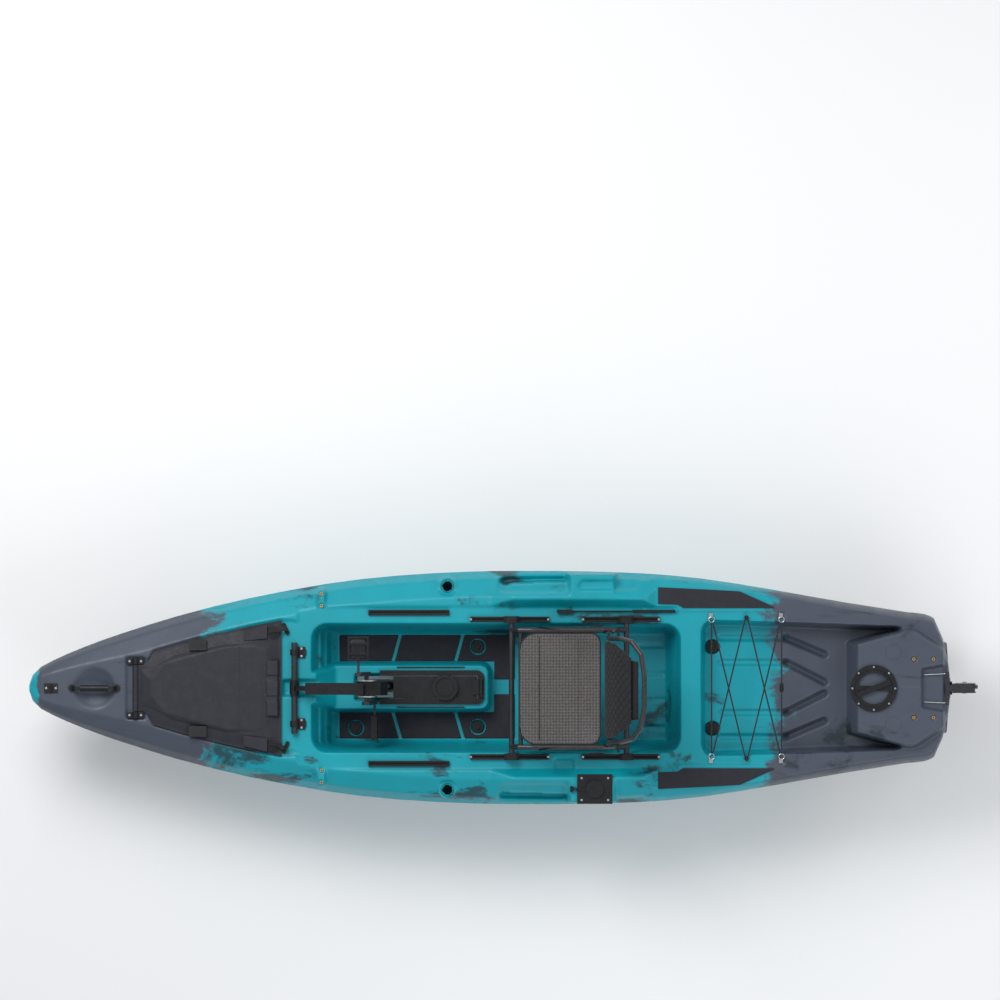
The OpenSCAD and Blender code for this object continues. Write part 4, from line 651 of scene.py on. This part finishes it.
# ---- Cords ----
def line(points, step=0.006):
    """A path along straight runs between the points, a point each step."""
    p = np.asarray(points, float)
    out = [p[:1]]
    for a, b in zip(p[:-1], p[1:]):
        n = max(2, int(np.ceil(np.linalg.norm(b - a) / step)) + 1)
        out.append(a + (b - a) * np.linspace(0, 1, n)[1:, None])
    return np.vstack(out)


def cord_piece(name, points, diameter, body="hull", replaced=(), slot="cord", ends=None):
    """A taut cord along straight runs, both ends in the object; when ends is given, the cord is left on no
    body, its place baked into its points.
    """
    path = line(points)
    around, faces, uv = tube(path, diameter / 2, 10)
    thing = piece(name, around, faces, slot, None if ends else body, replaced, uv)
    if ends:
        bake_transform(thing)
    return thing


FRONT_X, REAR_X, RING_Y, CORD_Z = 0.881, 1.159, 0.2587, 0.362
BUTTON_Y, BUTTON_Z = 0.2717, 0.357
BUNGEE, WELL_CORD, CABLE = 0.006, 0.005, 0.004


def bungees():
    """Two cords straight across the tank well, and two that cross over its side buttons."""
    barrel = line([(REAR_X, -0.015, CORD_Z), (REAR_X, 0.019, CORD_Z)], 0.002)
    along = np.linspace(-1, 1, len(barrel))
    points, faces, _ = tube(barrel, 0.0082 * np.sqrt(1 - 0.35 * along**4), 20)
    lock = piece("cord_lock", points, faces, "black_plastic", "hull")
    cord_piece("bungee_front", [(FRONT_X, -RING_Y, CORD_Z), (FRONT_X, RING_Y, CORD_Z)], BUNGEE,
               replaced=("bungee_cords",))
    cord_piece("bungee_rear", [(REAR_X, -RING_Y, CORD_Z), (REAR_X, RING_Y, CORD_Z)], BUNGEE)
    for name, side, z in (("bungee_cross_a", 1, 0.358), ("bungee_cross_b", -1, 0.365)):
        cord_piece(name, [(0.887, -side * RING_Y, z), (1.014, side * BUTTON_Y, BUTTON_Z),
                          (1.026, side * BUTTON_Y, BUTTON_Z), (1.153, -side * RING_Y, z)], BUNGEE)


bungees()
for side, tag in ((-1, "port"), (1, "starboard")):
    cord_piece("well_cord_" + tag, [(-0.371, side * 0.08, 0.214), (-0.100, side * 0.08, 0.214)], WELL_CORD,
               replaced=("well_cords",) if side < 0 else ())
    cord_piece("rudder_cable_" + tag,
               [(stern_x - 0.106, side * 0.054, 0.385), (1.8087, side * 0.058, 0.385)], CABLE,
               replaced=("rudder_cables",) if side < 0 else (), slot="steel",
               ends=("hull", "rudder", (1.735, 0, 0.385), (1.805, 0, 0.385)))


# ---- Seat ----
def seat_cloth():
    """The seat's mesh, stretched between its side tubes, with bound edges and sewn sleeves."""
    lo, hi = (np.array(v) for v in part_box("seat_mesh"))
    n, m = 121, 161
    t = np.linspace(0, 1, n)
    x = lo[0] + (hi[0] - lo[0]) * t
    d0, d1 = x - lo[0], hi[0] - x
    cut = lambda d, r: np.where(d < r, r - np.sqrt(np.maximum(r * r - (r - d)**2, 0)), 0.0)
    half = hi[1] - cut(d0, 0.07) - cut(d1, 0.04)
    u = np.linspace(-1, 1, m)
    gx = np.broadcast_to(x[:, None], (n, m))
    gy = half[:, None] * u[None, :]
    sag = 0.012 * (1 - u[None, :]**2) * np.sin(np.pi * np.clip(0.12 + 0.8 * t[:, None], 0, 1))
    wave = 0.0012 * np.sin(gy * 90 + 8 * gx) * (np.abs(u)[None, :] > 0.8) * (1 - np.abs(u)[None, :]) * 5
    gz = hi[2] - 0.0015 - sag + wave
    points = np.stack([gx, gy, gz], -1)
    for name, row, col in (("front", slice(0, 1), slice(None)), ("rear", slice(n - 1, n), slice(None)),
                           ("port", slice(None), slice(0, 1)), ("starboard", slice(None), slice(m - 1, m)),
                           ("seam_a", slice(30, 31), slice(6, m - 6)),
                           ("seam_b", slice(88, 89), slice(6, m - 6))):
        path = points[row, col].reshape(-1, 3)[::2]
        r = 0.0032 if "seam" not in name else 0.0013
        got = tube(path + [0, 0, 0.0004], r, 8, 0.7)
        piece("seat_binding_" + name, *got[:2], "webbing", "seat", (), got[2])
    uv = np.stack([gy, gx], -1)
    cloth = piece("seat_cloth", points, grid_faces(n, m)[:, ::-1], "seat_mesh_fabric", "seat",
                  ("seat_mesh",), uv)


seat_cloth()

hinge_x, hinge_z = 0.472, 0.458
PROFILE = smooth_path(np.array([[0, 0], [2, 150], [14, 210], [44, 280], [92, 336], [118, 346]]) * MM, 400)


def back_panel(name, low, high, half, near, far, quilt, node, count=(110, 150)):
    """A stuffed panel that follows the back's curve from one height to another: front and rear
    faces between two offsets, with diagonal stitching that draws the stuffing in."""
    mine = PROFILE[(PROFILE[:, 1] >= low) & (PROFILE[:, 1] <= high)]
    spine = smooth_path(mine[::8], count[0])
    along = unit(np.gradient(spine, axis=0))
    out = np.stack([along[:, 1], -along[:, 0]], -1)
    run = np.r_[0, np.cumsum(np.linalg.norm(np.diff(spine, axis=0), axis=1))]
    u = np.linspace(-1, 1, count[1])
    wide = half(spine[:, 1])
    y = wide[:, None] * u[None, :]
    rim = np.minimum((1 - np.abs(u))[None, :] * wide[:, None], np.minimum(run, run[-1] - run)[:, None])
    puff = np.sqrt(np.clip(rim / 0.012, 0, 1))
    a, b = (y + run[:, None]) / quilt, (y - run[:, None]) / quilt
    sewn = np.minimum(np.abs(a - np.round(a)), np.abs(b - np.round(b))) * quilt
    cushion = 1 - 0.42 * np.exp(-(sewn / 0.0045)**2)
    middle = (near + far) / 2
    face = []
    for side in (near, far):
        off = middle + (side - middle) * puff * (cushion if side == near else 1)
        p = hinge_x + spine[:, :1] + off * out[:, :1]
        q = hinge_z + spine[:, 1:] + off * out[:, 1:]
        face.append(np.stack([p, y, q], -1))
    n = count[0] * count[1]
    grid = grid_faces(*count)
    border = np.r_[np.arange(count[1]), np.arange(1, count[0]) * count[1] + count[1] - 1,
                   n - 2 - np.arange(count[1] - 1), np.arange(count[0] - 2, 0, -1) * count[1]]
    after = np.roll(border, -1)
    wall = np.stack([border, border + n, after + n, after], -1)
    uv = np.stack([y, np.broadcast_to(run[:, None], y.shape)], -1).reshape(-1, 2)
    thing = piece(name, np.vstack([f.reshape(-1, 3) for f in face]),
                  np.vstack([grid, grid[:, ::-1] + n, wall]), "back_fabric", "seat_back", (node,),
                  np.vstack([uv, uv]))


back_panel("back_cushion", 0.062, 0.336,
           lambda h: np.interp(h, [0.19, 0.26, 0.30, 0.336], [0.192, 0.183, 0.160, 0.128]),
           -0.019, -0.003, 0.034, "seat_back_mesh")
back_panel("back_flap", 0.280, 0.345, lambda h: np.interp(h, [0.28, 0.345], [0.128, 0.114]),
           0.0, 0.013, 0.2, "seat_back_pad", (60, 90))


def straps():
    """Webbing from the seat's sides up to the back's frame, on no body, its place baked into its points."""
    a, b = np.array([0.199, 0.445]), np.array([0.506, 0.706])
    way = unit(b - a)
    cross = np.array([-way[1], way[0]]) * 0.011
    for side, tag in ((-1, "port"), (1, "starboard")):
        t = np.linspace(0, 1, 60)[:, None]
        w = np.linspace(-1, 1, 5)[None, :]
        xz = a + (b - a) * t[..., None] + cross * w[..., None]
        y = np.full(xz.shape[:2], side * 0.2473)
        points = np.stack([xz[..., 0], y, xz[..., 1]], -1)
        length = float(np.linalg.norm(b - a))
        uv = np.stack([np.broadcast_to(w * 0.011, y.shape), np.broadcast_to(t * length, y.shape)], -1)
        ribbon = piece("side_strap_" + tag, points, grid_faces(60, 5), "webbing", None,
                       ("seat_straps",) if side < 0 else (), uv)
        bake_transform(ribbon)


straps()


# ---- Pedals ----
def treads():
    """A ribbed tread block inside each pedal's cage."""
    for node, body in (("pedal_port", "pedal_p"), ("pedal_starboard", "pedal_s")):
        lo, hi = (np.array(v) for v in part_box(node))
        middle, half = (lo + hi) / 2, (hi - lo) / 2
        u = np.linspace(0, np.pi, 33)
        v = np.linspace(0, 2 * np.pi, 96, endpoint=False)
        power = lambda t: np.sign(t) * np.abs(t)**0.28
        along = power(np.cos(u))[:, None] * np.ones(96)
        a = power(np.sin(u))[:, None] * power(np.cos(v))
        b = power(np.sin(u))[:, None] * power(np.sin(v))
        rib = 1 - 0.10 * (np.abs(np.cos(u * 9))[:, None] < 0.45)
        points = middle + half * np.stack([a * 0.80 * rib, along * 0.84, b * 0.80 * rib], -1)
        piece(node + "_tread", points, grid_faces(33, 96, True), "drive_plastic", body)


treads()


# ---- Hatch lid ----
def lid_skin():
    """The lid's moulded panel, laid over the CAD lid's crown: a sloping front tab, a plateau that falls
    behind a crease, and a grip block in three parts."""
    lo, hi = (np.array(v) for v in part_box("hatch_lid"))
    xs = np.arange(lo[0] + 0.03, hi[0] - 0.004, 0.003)
    ys = np.arange(-62, 63) / 62.0
    wide = np.interp(xs, [-1.38, -1.34, -1.25, -1.05, -0.93, -0.90, hi[0]],
                     [0.075, 0.085, 0.130, 0.175, 0.175, 0.160, 0.160])
    y = wide[:, None] * ys[None, :]
    x = np.broadcast_to(xs[:, None], y.shape).copy()
    base, on_lid = cast_height(x, y, False, "hatch_lid")
    base = blur(np.where(on_lid, base, shelf_z + 0.0135), 1)
    side = np.clip((wide[:, None] - np.abs(y)) / 0.012, 0, 1)
    ends = np.minimum(np.clip((x - xs[0]) / 0.01, 0, 1), np.clip((xs[-1] - x) / 0.008, 0, 1))
    fall = np.interp(x, [-1.35, -1.25, -1.245, -0.996, -0.992, -0.905, -0.90],
                     [1.0, 5.0, 5.6, 5.6, 4.4, 1.5, 0.6])
    z = base + MM * fall * np.minimum(side, ends)
    for a, b in ((-0.117, -0.045), (-0.037, 0.037), (0.045, 0.117)):
        block = plate(x, y, -0.891, -0.835, a, b, 0.006)
        z = np.maximum(z, shelf_z + 0.012 + 0.027 * np.clip(block / 0.007, 0, 1))
    rim = (np.abs(ys)[None, :] > 0.999) | (x <= xs[0]) | (x >= xs[-1])
    z = np.where(rim, base - 0.0008, z)
    piece("lid_panel", np.stack([x, y, z], -1), grid_faces(*x.shape)[:, ::-1], "lid_plastic", "hatch")


lid_skin()


# ---- Stage, light and camera ----
def lamp(name, place, target, size, power, color=(1, 1, 1)):
    """A square soft box at a place, turned to its target."""
    data = bpy.data.lights.new(name, "AREA")
    data.size = size
    data.energy = power
    data.color = color
    thing = bpy.data.objects.new(name, data)
    thing.location = place
    thing.rotation_euler = (Vector(target) - Vector(place)).to_track_quat("-Z", "Y").to_euler()
    bpy.context.scene.collection.objects.link(thing)


def stage():
    """A pale floor below the lowest fin, soft light all round, and a camera straight above."""
    low = cad_box[0][2] - 0.002
    mesh = bpy.data.meshes.new("floor")
    size = 60.0
    mesh.from_pydata([(-size, -size, low), (size, -size, low), (size, size, low), (-size, size, low)], [],
                     [(0, 1, 2, 3)])
    pale = Finish("pale_floor", (0.86, 0.86, 0.86), 0.9)
    pale.rough(pale.noise(2.0), 0.85, 0.95)
    mesh.materials.append(pale.mat)
    floor = bpy.data.objects.new("floor", mesh)
    bpy.context.scene.collection.objects.link(floor)
    world = bpy.data.worlds.new("sky")
    world.use_nodes = True
    world.node_tree.nodes["Background"].inputs["Color"].default_value = (0.93, 0.96, 1.0, 1)
    world.node_tree.nodes["Background"].inputs["Strength"].default_value = 0.5
    bpy.context.scene.world = world
    middle = (0, 0, 0.3)
    lamp("key", (-2.2, 3.0, 5.2), middle, 3.0, 250)
    lamp("fill", (2.6, -3.2, 4.0), middle, 3.4, 80, (0.95, 0.98, 1.0))
    lamp("rim", (4.4, 2.2, 2.6), (1.2, 0, 0.3), 1.8, 40)
    # straight above; the boat lies below the middle of the view
    camera = bpy.data.cameras.new("camera")
    camera.lens = 300.0
    camera.sensor_width = 36.0
    camera.clip_end = 200.0
    thing = bpy.data.objects.new("camera", camera)
    thing.location = (0.041, 0.747, 33.1 + 0.35)
    bpy.context.scene.collection.objects.link(thing)
    bpy.context.scene.camera = thing
    bpy.context.scene.view_settings.view_transform = "Standard"


stage()
